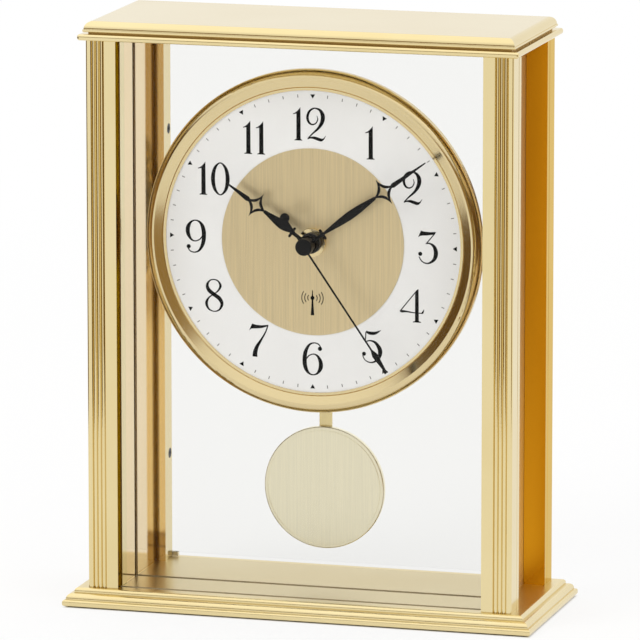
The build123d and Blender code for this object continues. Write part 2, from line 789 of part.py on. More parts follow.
# Minute hand: hub with its collet, collar bar, slim leaf, open lozenge and long tip
with BuildPart() as minute_hand:
    with BuildSketch(hand_plane(minute_angle, minute_hand_back)):
        leaf = minute_leaf_start
        lozenge_end = minute_lozenge_start + minute_lozenge_length
        Circle(minute_hub_radius)
        mirrored_leaf([(0.6, minute_hub_radius - 0.4), (0.55, leaf + 0.3)])
        with Locations((0, minute_collar_distance)):
            SlotOverall(collar_width, collar_thickness)
        mirrored_leaf([(0.5, leaf), (0.85, leaf + 3.4), (1.3, leaf + 7.6), (1.65, leaf + 12.6),
                       (1.5, leaf + 17.4), (0.95, leaf + 22.4), (0.6, minute_lozenge_start + 0.8)])
        lozenge(minute_lozenge_start, minute_lozenge_length)
        mirrored_leaf([(0.55, lozenge_end - 1.4), (0.95, lozenge_end - 0.6), (0.75, lozenge_end + 3.4),
                       (0.22, minute_hand_length)])
    extrude(amount=hand_thickness)
    collet_back = hour_hand_front - collet_gap
    bar_y(minute_hub_radius, minute_hand_back, collet_back, 0, axis_z)
    bar_y(minute_tube_radius + hand_fit, minute_hand_front, collet_back, 0, axis_z, Mode.SUBTRACT)

# Second hand: hub with its collet, round counterweight, thin needle and spear end
with BuildPart() as second_hand:
    with BuildSketch(hand_plane(second_angle, second_hand_back)):
        tip = second_hand_length
        mirrored_leaf([(0.42, -second_tail_length), (0.34, 0.0), (0.3, tip - 10.6), (1.15, tip - 8.2),
                       (0.45, tip - 1.2), (0.8, tip - 0.4), (0.7, tip)])
        with Locations((0, -second_tail_length)):
            Circle(second_tail_radius)
    extrude(amount=second_hand_thickness)
    collet_back = minute_hand_front - collet_gap
    bar_y(second_hub_radius, second_hand_back - second_hub_height, collet_back, 0, axis_z)
    hub_rim = second_hand.edges().filter_by(GeomType.CIRCLE).sort_by(Axis.Y)[0]
    fillet(hub_rim, radius=0.4)
    bar_y(second_arbor_radius + hand_fit, second_hand_front, collet_back, 0, axis_z, Mode.SUBTRACT)

# Movement housing: rooms for the train, the battery, the antenna and the pendulum lever
with BuildPart() as movement_case:
    block(-housing_half_width, housing_half_width, pane_back, cover_y, housing_bottom, housing_top)
    block(-room_x, room_x, wall_back, cover_y, train_floor, train_roof, Mode.SUBTRACT)
    block(-room_x, room_x, wall_back, cover_y, battery_floor, battery_roof, Mode.SUBTRACT)
    block(-room_x, room_x, wall_back, cover_y, antenna_floor, antenna_roof, Mode.SUBTRACT)
    block(-pendulum_bay_half_width, pendulum_bay_half_width, wall_back, cover_y, housing_bottom, bay_roof,
          Mode.SUBTRACT)
    for side in (-1, 1):
        block(side * (pendulum_bay_half_width + inner_wall), side * room_x, wall_back, cover_y,
              housing_bottom + housing_wall, bay_roof, Mode.SUBTRACT)
    for x, z in post_places:
        bar_y(post_radius, wall_back, train_plate_y, x, z)
    for x, z in upper_boss_places:
        bar_y(cover_boss_radius + cover_boss_shoulder, wall_back, train_plate_y, x, z)
    for x, z in boss_places:
        bar_y(cover_boss_radius, wall_back, cover_y, x, z)
    for x, z in boss_places:
        bar_y(cover_screw_radius + screw_clearance, cover_y - cover_screw_length, cover_y, x, z,
              Mode.SUBTRACT)
    bar_y(motion_stud_radius, wall_back, motion_y + wheel_thickness, motion_x, motion_z)
    bar_y(drive_coil_bore - screw_clearance, wall_back, wall_back + drive_coil_length, 0, drive_z)
    bar_y(bush_radius, bush_front, pane_back, 0, axis_z)
    bar_y(hour_tube_radius + running_clearance, bush_front, wall_back, 0, axis_z, Mode.SUBTRACT)
    bar_y(arbor_radius + running_clearance, wall_back - front_wall / 2, wall_back, minute_transfer_x,
          minute_transfer_z, Mode.SUBTRACT)

# Rear cover with the battery window, the door rails, the button holes and the board posts
with BuildPart() as movement_cover:
    block(-housing_half_width, housing_half_width, cover_y, cover_back, housing_bottom, housing_top)
    window_x = battery_length / 2 + battery_nub_length + battery_headroom
    block(-window_x, window_x, cover_y, cover_back, battery_floor, battery_roof, Mode.SUBTRACT)
    rail_gap_back = cover_back + battery_door_thickness + 2 * battery_door_play
    rail_back = rail_gap_back + rail_lip_thickness
    rail_in = battery_door_half_width + battery_door_play
    ledge_top = battery_floor - inner_wall
    for side in (-1, 1):
        block(side * rail_in, side * (rail_in + rail_width), cover_back, rail_back, ledge_top, battery_roof)
        block(side * (rail_in - rail_lip), side * (rail_in + rail_width), rail_gap_back, rail_back, ledge_top,
              battery_roof)
    block(-rail_in - rail_width, rail_in + rail_width, cover_back, rail_back, ledge_top - door_ledge_height,
          ledge_top)
    for side in (-1, 1):
        bar_y(button_radius + running_clearance, cover_y, cover_back, side * button_spread,
              axis_z - button_drop, Mode.SUBTRACT)
        for z in (board_top - board_post_inset, board_foot + board_post_inset):
            bar_y(post_radius, board_back, cover_y, side * (board_half_width - board_post_inset), z)
    for x, z in boss_places:
        bar_y(cover_screw_radius + screw_clearance, cover_y, cover_back, x, z, Mode.SUBTRACT)

# Screws that hold the rear cover
with BuildPart() as cover_screws:
    for x, z in boss_places:
        bar_y(cover_screw_head_radius, cover_back, cover_back + cover_screw_head_height, x, z)
        bar_y(cover_screw_radius, cover_back - cover_screw_length, cover_back, x, z)

# Middle plate between the hand work and the transfer wheels
with BuildPart() as middle_plate:
    back = middle_plate_y + middle_plate_thickness
    block(-room_x + screw_clearance, room_x - screw_clearance, middle_plate_y, back,
          train_floor + screw_clearance, train_roof - screw_clearance)
    for x, z in post_places:
        bar_y(post_radius + screw_clearance, middle_plate_y, back, x, z, Mode.SUBTRACT)
    notch = cover_boss_radius + cover_boss_shoulder + screw_clearance
    for x, z in upper_boss_places:
        bar_y(notch, middle_plate_y, back, x, z, Mode.SUBTRACT)
        block(x, math.copysign(room_x, x), middle_plate_y, back, z - notch, train_roof, Mode.SUBTRACT)
        block(x - math.copysign(notch, x), x, middle_plate_y, back, z, train_roof, Mode.SUBTRACT)
    bar_y(second_arbor_radius + running_clearance, middle_plate_y, back, 0, axis_z, Mode.SUBTRACT)
    for x, z in arbor_places:
        bar_y(arbor_radius + running_clearance, middle_plate_y, back, x, z, Mode.SUBTRACT)

# Train plate with the rear bearings, the coil windows and the pads that hold the stators
with BuildPart() as train_plate:
    plate_half = room_x - train_plate_inset
    block(-plate_half, plate_half, train_plate_y, train_plate_back, train_floor + train_plate_foot_gap,
          train_roof - train_plate_top_gap)
    for cx, cz in motor_places:
        window_half = coil_half + coil_window_margin
        window_reach = motor_coil_radius + coil_window_margin
        block(cx - window_half, cx + window_half, train_plate_y, train_plate_back,
              cz - coil_drop - window_reach, cz - coil_drop + window_reach, Mode.SUBTRACT)
        for side in (-1, 1):
            bar_y(stator_pad_radius, stator_y + stator_thickness, train_plate_y,
                  cx + side * (stator_half_width - stator_pad_inset), cz + stator_head - stator_pad_inset)
    for x, z in upper_boss_places:
        bar_y(cover_boss_radius + screw_clearance, train_plate_y, train_plate_back, x, z, Mode.SUBTRACT)
    for x, z in arbor_places:
        bar_y(arbor_radius + running_clearance, train_plate_y, train_plate_back, x, z, Mode.SUBTRACT)

# Stators of the two stepping motors, each with a rotor hole and a core bar for its coil
with BuildPart() as motor_stators:
    for cx, cz in motor_places:
        back = stator_y + stator_thickness
        core_bottom = cz - stator_core_drop
        block(cx - stator_half_width, cx + stator_half_width, stator_y, back, cz - stator_head,
              cz + stator_head)
        for side in (-1, 1):
            block(cx + side * (stator_half_width - stator_leg_width), cx + side * stator_half_width, stator_y,
                  back, core_bottom, cz)
        block(cx - stator_half_width, cx + stator_half_width, stator_y, back, core_bottom,
              core_bottom + stator_core_height)
        bar_y(rotor_radius + rotor_air_gap, stator_y, back, cx, cz, Mode.SUBTRACT)

# Coils on the stator cores
with BuildPart() as motor_coils:
    core_gap = coil_clearance / 2
    core_reach = stator_core_height / 2 + core_gap
    for cx, cz in motor_places:
        coil_z = cz - coil_drop
        bar_x(motor_coil_radius, cx - coil_half, cx + coil_half, stator_y + stator_thickness / 2, coil_z)
        block(cx - coil_half, cx + coil_half, stator_y - core_gap, stator_y + stator_thickness + core_gap,
              coil_z - core_reach, coil_z + core_reach, Mode.SUBTRACT)

# Circuit board with its chip and quartz can
with BuildPart() as circuit_board:
    block(-board_half_width, board_half_width, board_y, board_back, board_foot, board_top)
    block(-4, 4, board_back, board_back + 1.0, axis_z - 11.0, axis_z - 4.0)
    bar_x(0.75, -20.0, -14.0, board_back + 0.6, axis_z - 9.0)

# Receiver antenna: ferrite rod with its winding
with BuildPart() as antenna:
    winding_half = antenna_winding_length / 2
    bar_x(antenna_radius, -antenna_length / 2, antenna_length / 2, antenna_y, antenna_z)
    bar_x(antenna_winding_radius, -winding_half, winding_half, antenna_y, antenna_z)

# Battery cell lying across the housing
with BuildPart() as battery:
    cell_end = battery_length / 2
    bar_x(battery_radius, -cell_end, cell_end, battery_y, battery_z)
    bar_x(battery_nub_radius, cell_end, cell_end + battery_nub_length, battery_y, battery_z)

# Contact leaves at both ends of the cell
with BuildPart() as battery_contacts:
    contact_front = battery_y - contact_width / 2
    contact_back = battery_y + contact_width / 2
    leaf_top = battery_z + contact_width / 2
    foot_top = battery_floor + contact_thickness
    for side, reach in ((1, battery_length / 2 + battery_nub_length), (-1, battery_length / 2)):
        leaf_x = side * (reach + battery_play)
        block(leaf_x, leaf_x + side * contact_thickness, contact_front, contact_back, battery_floor, leaf_top)
        block(leaf_x, side * room_x, contact_front, contact_back, battery_floor, foot_top)

# Sliding battery door with finger ribs
with BuildPart() as battery_door:
    door_y = cover_back + battery_door_play
    door_low = ledge_top + battery_door_play
    door_high = battery_roof + inner_wall
    block(-battery_door_half_width, battery_door_half_width, door_y, door_y + battery_door_thickness,
          door_low, door_high)
    for n in range(3):
        rib_z = door_high - 3.0 - 2.2 * n
        block(-8, 8, door_y + battery_door_thickness, door_y + battery_door_thickness + 0.6, rib_z - 0.5,
              rib_z + 0.5)

# Push buttons in the rear cover
set_button = make_button(-button_spread)
reset_button = make_button(button_spread)

# Hour wheel with its tube
with BuildPart() as hour_wheel:
    tooth_ring(hour_teeth, gap_phase(hour_teeth, -90), 0, axis_z, hour_y)
    bar_y(hour_tube_radius, hour_hand_front, hour_y + wheel_thickness, 0, axis_z)
    bar_y(minute_tube_radius + running_clearance, hour_hand_front, hour_y + wheel_thickness, 0, axis_z,
          Mode.SUBTRACT)

# Motion wheel and pinion that turn the hour wheel from the minute arbor
with BuildPart() as motion_wheel:
    tooth_ring(motion_teeth, gap_phase(motion_teeth, 90), motion_x, motion_z, motion_y)
    tooth_ring(motion_pinion_teeth, 90, motion_x, motion_z, hour_y)
    bar_y(1.3, hour_y, motion_y, motion_x, motion_z)
    bar_y(motion_stud_radius + running_clearance, hour_y, motion_y + wheel_thickness, motion_x, motion_z,
          Mode.SUBTRACT)

# Centre wheel with the cannon pinion and the minute tube
with BuildPart() as centre_wheel:
    tooth_ring(centre_teeth, gap_phase(centre_teeth, 180), 0, axis_z, centre_y)
    tooth_ring(cannon_teeth, -90, 0, axis_z, motion_y)
    bar_y(minute_tube_radius, minute_hand_front, centre_y + wheel_thickness, 0, axis_z)
    bar_y(second_arbor_radius + running_clearance, minute_hand_front, centre_y + wheel_thickness, 0, axis_z,
          Mode.SUBTRACT)

# Seconds wheel with its long arbor
with BuildPart() as seconds_wheel:
    tooth_ring(seconds_teeth, gap_phase(seconds_teeth, 0), 0, axis_z, seconds_y)
    bar_y(second_arbor_radius, second_hand_front, seconds_y + wheel_thickness + wheel_gap / 2, 0, axis_z)

# Transfer wheel of the minute train
with BuildPart() as minute_transfer_wheel:
    tooth_ring(minute_transfer_teeth, gap_phase(minute_transfer_teeth, -90), minute_transfer_x,
               minute_transfer_z, transfer_y)
    tooth_ring(transfer_pinion_teeth, 0, minute_transfer_x, minute_transfer_z, centre_y)
    bar_y(arbor_radius, wall_back - front_wall / 2 + running_clearance, train_plate_back, minute_transfer_x,
          minute_transfer_z)

# Transfer wheel of the seconds train
with BuildPart() as seconds_transfer_wheel:
    tooth_ring(seconds_transfer_teeth, gap_phase(seconds_transfer_teeth, -90), seconds_transfer_x,
               seconds_transfer_z, transfer_y)
    tooth_ring(transfer_pinion_teeth, 180, seconds_transfer_x, seconds_transfer_z, seconds_y)
    bar_y(arbor_radius, middle_plate_y + running_clearance, train_plate_back, seconds_transfer_x,
          seconds_transfer_z)

# Rotor of the minute motor
with BuildPart() as minute_rotor:
    tooth_ring(rotor_pinion_teeth, 90, minute_rotor_x, minute_rotor_z, transfer_y)
    bar_y(rotor_radius, rotor_y, rotor_y + rotor_length, minute_rotor_x, minute_rotor_z)
    bar_y(arbor_radius, middle_plate_y + running_clearance, train_plate_back, minute_rotor_x, minute_rotor_z)

# Rotor of the seconds motor
with BuildPart() as seconds_rotor:
    tooth_ring(rotor_pinion_teeth, 90, seconds_rotor_x, seconds_rotor_z, transfer_y)
    bar_y(rotor_radius, rotor_y, rotor_y + rotor_length, seconds_rotor_x, seconds_rotor_z)
    bar_y(arbor_radius, middle_plate_y + running_clearance, train_plate_back, seconds_rotor_x,
          seconds_rotor_z)

# Drive coil of the pendulum on its peg
with BuildPart() as pendulum_coil:
    bar_y(drive_coil_radius, wall_back, wall_back + drive_coil_length, 0, drive_z)
    bar_y(drive_coil_bore, wall_back, wall_back + drive_coil_length, 0, drive_z, Mode.SUBTRACT)

# Pin that carries the pendulum lever
with BuildPart() as pendulum_pin:
    bar_y(pivot_radius, wall_back, cover_y, 0, pivot_z)

# Pendulum lever
with BuildPart() as pendulum_lever:
    block(-lever_half_width, lever_half_width, lever_front, rod_front, lever_bottom,
          bay_roof - lever_top_room)
    bar_y(pivot_radius + running_clearance, lever_front, rod_front, 0, pivot_z, Mode.SUBTRACT)

# Drive magnet on the lever
with BuildPart() as drive_magnet:
    bar_y(drive_magnet_radius, lever_front - drive_magnet_length, lever_front, 0, drive_z)

# Flat pendulum rod
with BuildPart() as pendulum_rod:
    block(-rod_width / 2, rod_width / 2, rod_front, rod_front + rod_thickness, bob_z - rod_tail,
          lever_bottom + rod_overlap)

# Round bob with a fine turned line inside its rim
with BuildPart() as pendulum_bob:
    bob_front = rod_front - bob_thickness
    line_outer = bob_radius - bob_rim_width
    bar_y(bob_radius, bob_front, rod_front, 0, bob_z)
    fillet(pendulum_bob.edges().filter_by(GeomType.CIRCLE).sort_by(Axis.Y)[0], radius=0.4)
    with BuildSketch(facing_plane(0, bob_front + bob_line_depth, bob_z)):
        Circle(line_outer)
        Circle(line_outer - bob_line_width, mode=Mode.SUBTRACT)
    extrude(amount=bob_line_depth, mode=Mode.SUBTRACT)

nodes = {
    "base_moulding": base_moulding,
    "base_pad": base_pad,
    "floor_plates": floor_plates,
    "base_screws": base_screws,
    "pillar_front_left": pillar_front_left,
    "pillar_front_right": pillar_front_right,
    "pillar_rear_left": pillar_rear_left,
    "pillar_rear_right": pillar_rear_right,
    "side_panel_left": side_panel_left,
    "side_panel_right": side_panel_right,
    "top_plate": top_plate,
    "top_screws": top_screws,
    "lid_spacer": lid_spacer,
    "top_lid": top_lid,
    "front_glass": front_glass,
    "dial_pane": dial_pane,
    "door_jamb_left": door_jamb_left,
    "door_jamb_right": door_jamb_right,
    "jamb_screws": jamb_screws,
    "catch_magnet": catch_magnet,
    "rear_door_glass": rear_door_glass,
    "door_pivots": door_pivots,
    "door_knob": door_knob,
    "catch_plate": catch_plate,
    "bezel": bezel,
    "dial_plate": dial_plate,
    "dial_centre": dial_centre,
    "hand_nut": hand_nut,
    "hour_hand": hour_hand,
    "minute_hand": minute_hand,
    "second_hand": second_hand,
    "movement_case": movement_case,
    "movement_cover": movement_cover,
    "cover_screws": cover_screws,
    "middle_plate": middle_plate,
    "train_plate": train_plate,
    "motor_stators": motor_stators,
    "motor_coils": motor_coils,
    "circuit_board": circuit_board,
    "antenna": antenna,
    "battery": battery,
    "battery_contacts": battery_contacts,
    "battery_door": battery_door,
    "set_button": set_button,
    "reset_button": reset_button,
    "hour_wheel": hour_wheel,
    "motion_wheel": motion_wheel,
    "centre_wheel": centre_wheel,
    "seconds_wheel": seconds_wheel,
    "minute_transfer_wheel": minute_transfer_wheel,
    "seconds_transfer_wheel": seconds_transfer_wheel,
    "minute_rotor": minute_rotor,
    "seconds_rotor": seconds_rotor,
    "pendulum_coil": pendulum_coil,
    "pendulum_pin": pendulum_pin,
    "pendulum_lever": pendulum_lever,
    "drive_magnet": drive_magnet,
    "pendulum_rod": pendulum_rod,
    "pendulum_bob": pendulum_bob,
}

os.makedirs("parts", exist_ok=True)
for label, node in nodes.items():
    node.part.label = label
    export_step(node.part, "parts/" + label + ".step")
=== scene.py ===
import math

import bmesh
import bpy
from bpy.props import FloatProperty, FloatVectorProperty, IntProperty, PointerProperty
from bpy.types import Operator, Panel, PropertyGroup
from mathutils import Matrix, Vector


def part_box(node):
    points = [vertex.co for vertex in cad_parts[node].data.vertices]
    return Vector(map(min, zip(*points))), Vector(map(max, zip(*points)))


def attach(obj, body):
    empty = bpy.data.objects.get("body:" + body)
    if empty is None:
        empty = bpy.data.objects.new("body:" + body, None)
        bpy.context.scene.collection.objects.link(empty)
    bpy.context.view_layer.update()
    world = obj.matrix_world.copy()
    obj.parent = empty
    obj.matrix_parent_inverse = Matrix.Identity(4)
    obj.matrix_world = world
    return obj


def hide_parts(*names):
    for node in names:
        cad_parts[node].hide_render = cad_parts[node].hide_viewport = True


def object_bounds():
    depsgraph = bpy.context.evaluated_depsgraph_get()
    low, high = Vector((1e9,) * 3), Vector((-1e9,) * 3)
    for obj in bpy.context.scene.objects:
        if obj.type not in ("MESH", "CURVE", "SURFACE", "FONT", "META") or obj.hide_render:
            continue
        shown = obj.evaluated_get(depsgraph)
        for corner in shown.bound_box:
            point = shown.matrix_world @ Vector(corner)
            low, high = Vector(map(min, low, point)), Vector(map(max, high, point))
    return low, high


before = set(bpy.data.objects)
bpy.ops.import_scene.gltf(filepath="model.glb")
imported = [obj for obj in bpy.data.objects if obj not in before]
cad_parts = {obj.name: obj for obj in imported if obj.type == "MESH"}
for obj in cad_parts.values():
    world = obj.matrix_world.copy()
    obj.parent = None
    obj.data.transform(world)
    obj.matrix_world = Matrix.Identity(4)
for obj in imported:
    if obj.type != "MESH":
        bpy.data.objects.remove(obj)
cad_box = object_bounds()

bl_info = {
    "name": "Desk pendulum clock looks",
    "version": (1, 0, 0),
    "blender": (4, 5, 0),
    "location": "View3D > Sidebar > Clock",
    "description": "Finishes, dial print, screws and studio for the packed pendulum clock",
    "category": "Object",
}

# Places read from the frame
dial_low, dial_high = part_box("dial_plate")
dial_axis = (dial_low + dial_high) / 2
dial_front = dial_low.y
centre_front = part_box("dial_centre")[0].y


class ClockDialSettings(PropertyGroup):
    """Sizes and inks of the dial print"""
    numeral_height: FloatProperty(name="Numeral height", description="Height of the hour numerals",
                                  default=0.0130, unit="LENGTH")
    numeral_ring: FloatProperty(name="Numeral ring", description="Radius of the ring of numeral centres",
                                default=0.0459, unit="LENGTH")
    print_depth: FloatProperty(name="Print depth", description="Thickness of the printed ink",
                               default=0.00005, unit="LENGTH")
    tick_ring: FloatProperty(name="Tick ring", description="Radius of the ring of minute ticks",
                             default=0.0570, unit="LENGTH")
    tick_length: FloatProperty(name="Tick length", description="Length of a minute tick", default=0.0012,
                               unit="LENGTH")
    tick_width: FloatProperty(name="Tick width", description="Width of a minute tick", default=0.00032,
                              unit="LENGTH")
    hour_mark_size: FloatProperty(name="Hour mark size", description="Corner radius of an hour triangle",
                                  default=0.0011, unit="LENGTH")
    minute_count: IntProperty(name="Minute count", description="Marks round the dial", default=60)
    ink: FloatVectorProperty(name="Ink", description="Colour of numerals and triangles", subtype="COLOR",
                             default=(0.006, 0.006, 0.006))
    tick_ink: FloatVectorProperty(name="Tick ink", description="Colour of the minute ticks", subtype="COLOR",
                                  default=(0.20, 0.19, 0.18))
    ivory: FloatVectorProperty(name="Dial colour", description="Pale lacquer of the dial", subtype="COLOR",
                               default=(0.87, 0.865, 0.855))


class ClockFinishSettings(PropertyGroup):
    """Colours of metal, glass and plastic, and the painted shade and reflection tones of the case"""
    gold: FloatVectorProperty(name="Polished gold", description="Colour of the polished case",
                              subtype="COLOR", default=(0.80, 0.672, 0.375))
    gold_shade: FloatVectorProperty(name="Gold shade", description="Slightly deeper tone in the polish",
                                    subtype="COLOR", default=(0.77, 0.632, 0.33))
    # Painted reflection: orange on the front faces of the rear pillars stands in for light bounced about
    # inside the case
    deep_gold: FloatVectorProperty(name="Deep gold", description="Inner faces of the rear pillars",
                                   subtype="COLOR", default=(0.84, 0.465, 0.028))
    # Painted light and shade: the door jamb fronts are lighter on the inner side and dark on the outer side,
    # and the dark tone also paints shade on the rear pillar fronts by the side panel
    jamb_gold: FloatVectorProperty(name="Jamb gold", description="Front faces of the door jambs, inner side",
                                   subtype="COLOR", default=(0.92, 0.73, 0.39))
    jamb_shade: FloatVectorProperty(name="Jamb shade", subtype="COLOR", default=(0.22, 0.12, 0.02),
                                    description="Front faces of the door jambs, outer side")
    # Painted shade on the inner sides of the front pillars
    reveal_shade: FloatVectorProperty(name="Reveal shade", description="Inner sides of the front pillars",
                                      subtype="COLOR", default=(0.12, 0.067, 0.012))
    # Painted shade: the spacer under the lid is a dark gold that stands in for the shade in the gap
    gap_gold: FloatVectorProperty(name="Gap gold", description="Recessed band under the lid", subtype="COLOR",
                                  default=(0.46, 0.30, 0.105))
    bezel_gold: FloatVectorProperty(name="Bezel gold", description="Colour of the turned bezel",
                                    subtype="COLOR", default=(0.76, 0.62, 0.35))
    satin_gold: FloatVectorProperty(name="Satin gold", description="Colour of the brushed dial centre",
                                    subtype="COLOR", default=(0.83, 0.69, 0.42))
    bob_gold: FloatVectorProperty(name="Bob gold", description="Colour of the brushed bob", subtype="COLOR",
                                  default=(0.99, 0.93, 0.71))
    hand_black: FloatVectorProperty(name="Hand black", description="Lacquer of the hands", subtype="COLOR",
                                    default=(0.006, 0.006, 0.006))
    pane_tint: FloatVectorProperty(name="Pane tint", description="What one face of a pane lets through",
                                   subtype="COLOR", default=(0.985, 0.985, 0.982))
    pane_shine: FloatProperty(name="Pane shine", description="Mirror share of a pane seen head on",
                              default=0.002, subtype="FACTOR")
    # Painted shade: the browns of the pane edges and of the pane foot in its groove stand in for the shade
    # and gold reflections seen there through the glass
    pane_edge: FloatVectorProperty(name="Pane edge", description="Dull edge of a pane", subtype="COLOR",
                                   default=(0.22, 0.12, 0.02))
    pane_foot: FloatVectorProperty(name="Pane foot", description="Foot of a pane in its groove",
                                   subtype="COLOR", default=(0.50, 0.39, 0.23))
    plastic: FloatVectorProperty(name="Plastic", description="Housing of the movement", subtype="COLOR",
                                 default=(0.020, 0.020, 0.021))


class ClockStageSettings(PropertyGroup):
    """Camera, light and floor"""
    azimuth: FloatProperty(name="Azimuth", description="Camera turn to the right of the dial",
                           default=math.radians(16.05), subtype="ANGLE")
    elevation: FloatProperty(name="Elevation", description="Camera height above the horizon",
                             default=math.radians(10.56), subtype="ANGLE")
    distance: FloatProperty(name="Distance", description="Camera distance from the middle of the clock",
                            default=2.70, unit="LENGTH")
    lens: FloatProperty(name="Lens", description="Focal length", default=391.5, subtype="DISTANCE_CAMERA")
    middle_height: FloatProperty(name="Middle height", description="Height that the camera circles",
                                 default=0.115, unit="LENGTH")
    aim_height: FloatProperty(name="Aim height", description="Height at the centre of the picture",
                              default=0.11196, unit="LENGTH")
    aim_side: FloatProperty(name="Aim side", description="Sideways offset at the centre of the picture",
                            default=-0.00034, unit="LENGTH")
    sky_strength: FloatProperty(name="Sky strength", description="Light of the surrounding white tent",
                                default=0.72)
    room_brown: FloatVectorProperty(name="Room brown", subtype="COLOR", default=(0.22, 0.135, 0.035),
                                    description="Dim room that the gold mirrors from the front")
    floor_white: FloatVectorProperty(name="Floor colour", description="Pale floor", subtype="COLOR",
                                     default=(0.93, 0.93, 0.93))


# Materials

# Height of the surface grain in metres, and how fine the clouds in a colour are
GRAIN_DEPTH = 0.0001
METAL_CLOUDS = 18.0
PAINT_CLOUDS = 30.0


def new_material(name):
    """New material, with its node tree and its main shader"""
    material = bpy.data.materials.new(name)
    material.use_nodes = True
    tree = material.node_tree
    shader = tree.nodes["Principled BSDF"]
    return material, tree, shader


def set_inputs(tree, node, **values):
    """Links or sets a node's inputs by name"""
    for label, value in values.items():
        link_or_set(tree, value, node.inputs[label.replace("_", " ")])
    return node


def set_up(tree, kind, **values):
    """Adds a node and links or sets its inputs by name"""
    return set_inputs(tree, tree.nodes.new(kind), **values)


def link_or_set(tree, value, socket):
    """Links a socket to an input, or sets the input to a plain value"""
    if isinstance(value, bpy.types.NodeSocket):
        tree.links.new(value, socket)
    else:
        socket.default_value = value


def object_noise(tree, scale, stretch=(1, 1, 1)):
    """Noise in the piece's own space, drawn out along an axis by a small stretch value"""
    coords = tree.nodes.new("ShaderNodeTexCoord")
    mapping = set_up(tree, "ShaderNodeMapping", Vector=coords.outputs["Object"], Scale=stretch)
    return set_up(tree, "ShaderNodeTexNoise", Vector=mapping.outputs["Vector"], Scale=scale,
                  Detail=4.0).outputs["Fac"]


def math_node(tree, operation, *values):
    """Result of an operation on sockets and plain values"""
    node = tree.nodes.new("ShaderNodeMath")
    node.operation = operation
    for n, value in enumerate(values):
        link_or_set(tree, value, node.inputs[n])
    return node.outputs["Value"]


def ramp_between(tree, value, start, end):
    """Nought at the start, one at the end, smooth between"""
    spread = set_up(tree, "ShaderNodeMapRange", Value=value, From_Min=start, From_Max=end)
    spread.interpolation_type = "SMOOTHSTEP"
    return spread.outputs["Result"]


def value_between(tree, factor, low, high):
    """Even passage from a low to a high value"""
    return set_up(tree, "ShaderNodeMapRange", Value=factor, To_Min=low, To_Max=high).outputs["Result"]


def colour_between(tree, factor, dark, light):
    """Dark and light tone with a short passage about the middle of the factor"""
    ramp = set_up(tree, "ShaderNodeValToRGB", Fac=factor)
    for element, position, tone in zip(ramp.color_ramp.elements, (0.35, 0.65), (dark, light)):
        element.position = position
        element.color = (*tone, 1)
    return ramp.outputs["Color"]


def blend(tree, factor, first, second):
    """Colour between two, each given as a colour or as a socket"""
    mix = tree.nodes.new("ShaderNodeMix")
    mix.data_type = "RGBA"
    tree.links.new(factor, mix.inputs["Factor"])
    for label, tone in (("A", first), ("B", second)):
        is_socket = isinstance(tone, bpy.types.NodeSocket)
        link_or_set(tree, tone if is_socket else (*tone, 1), mix.inputs[label])
    return mix.outputs["Result"]


def mix_shaders(tree, factor, first, second):
    """Shader between two"""
    mix = set_up(tree, "ShaderNodeMixShader", Fac=factor)
    tree.links.new(first, mix.inputs[1])
    tree.links.new(second, mix.inputs[2])
    return mix.outputs["Shader"]


def along_axis(tree, kind, axis):
    """One component of the piece's own coordinates or normals"""
    coords = tree.nodes.new("ShaderNodeTexCoord")
    return set_up(tree, "ShaderNodeSeparateXYZ", Vector=coords.outputs[kind]).outputs[axis]


def facing(tree, axis):
    """How far a face of the piece looks along one of its axes, from -1 to 1"""
    return along_axis(tree, "Normal", axis)


def place_along(tree, axis):
    """Where a point of the piece lies along one of its axes"""
    return along_axis(tree, "Object", axis)


def away(tree, axis):
    """How far a point lies from the middle of the clock, to either side along an axis"""
    return math_node(tree, "ABSOLUTE", place_along(tree, axis))


def looks_up(tree):
    """One on level faces that look up"""
    return math_node(tree, "GREATER_THAN", facing(tree, "Z"), 0.9)


def looks_front(tree):
    """One on faces that look to the front"""
    return math_node(tree, "LESS_THAN", facing(tree, "Y"), -0.5)


def looks_aside(tree):
    """One on faces that look to the left or right"""
    return math_node(tree, "GREATER_THAN", math_node(tree, "ABSOLUTE", facing(tree, "X")), 0.5)


def looks_out(tree):
    """One on faces that look away from the middle of the clock, to the left or right"""
    outwards = math_node(tree, "MULTIPLY", facing(tree, "X"), place_along(tree, "X"))
    return math_node(tree, "GREATER_THAN", outwards, 0.02)


def inner_sides(reach, depth):
    """Mask that is one on faces that look to the left or right, within a reach beside the middle of the clock
    and before a depth"""
    def mask(tree):
        near = math_node(tree, "LESS_THAN", away(tree, "X"), reach)
        before = math_node(tree, "LESS_THAN", place_along(tree, "Y"), depth)
        return math_node(tree, "MULTIPLY", math_node(tree, "MULTIPLY", near, before), looks_aside(tree))
    return mask


def shaded(tree, start, first, end, second):
    """Colour that passes from one tone to another, each given at a distance beside the middle of the clock"""
    return blend(tree, ramp_between(tree, away(tree, "X"), start, end), first, second)


def scaled(colour, share):
    """A share of a colour"""
    return tuple(share * c for c in colour)


def bump_from(tree, factor, strength, shader):
    """Lifts the surface where a factor is high"""
    bump = set_up(tree, "ShaderNodeBump", Height=factor, Strength=strength, Distance=GRAIN_DEPTH)
    tree.links.new(bump.outputs["Normal"], shader.inputs["Normal"])


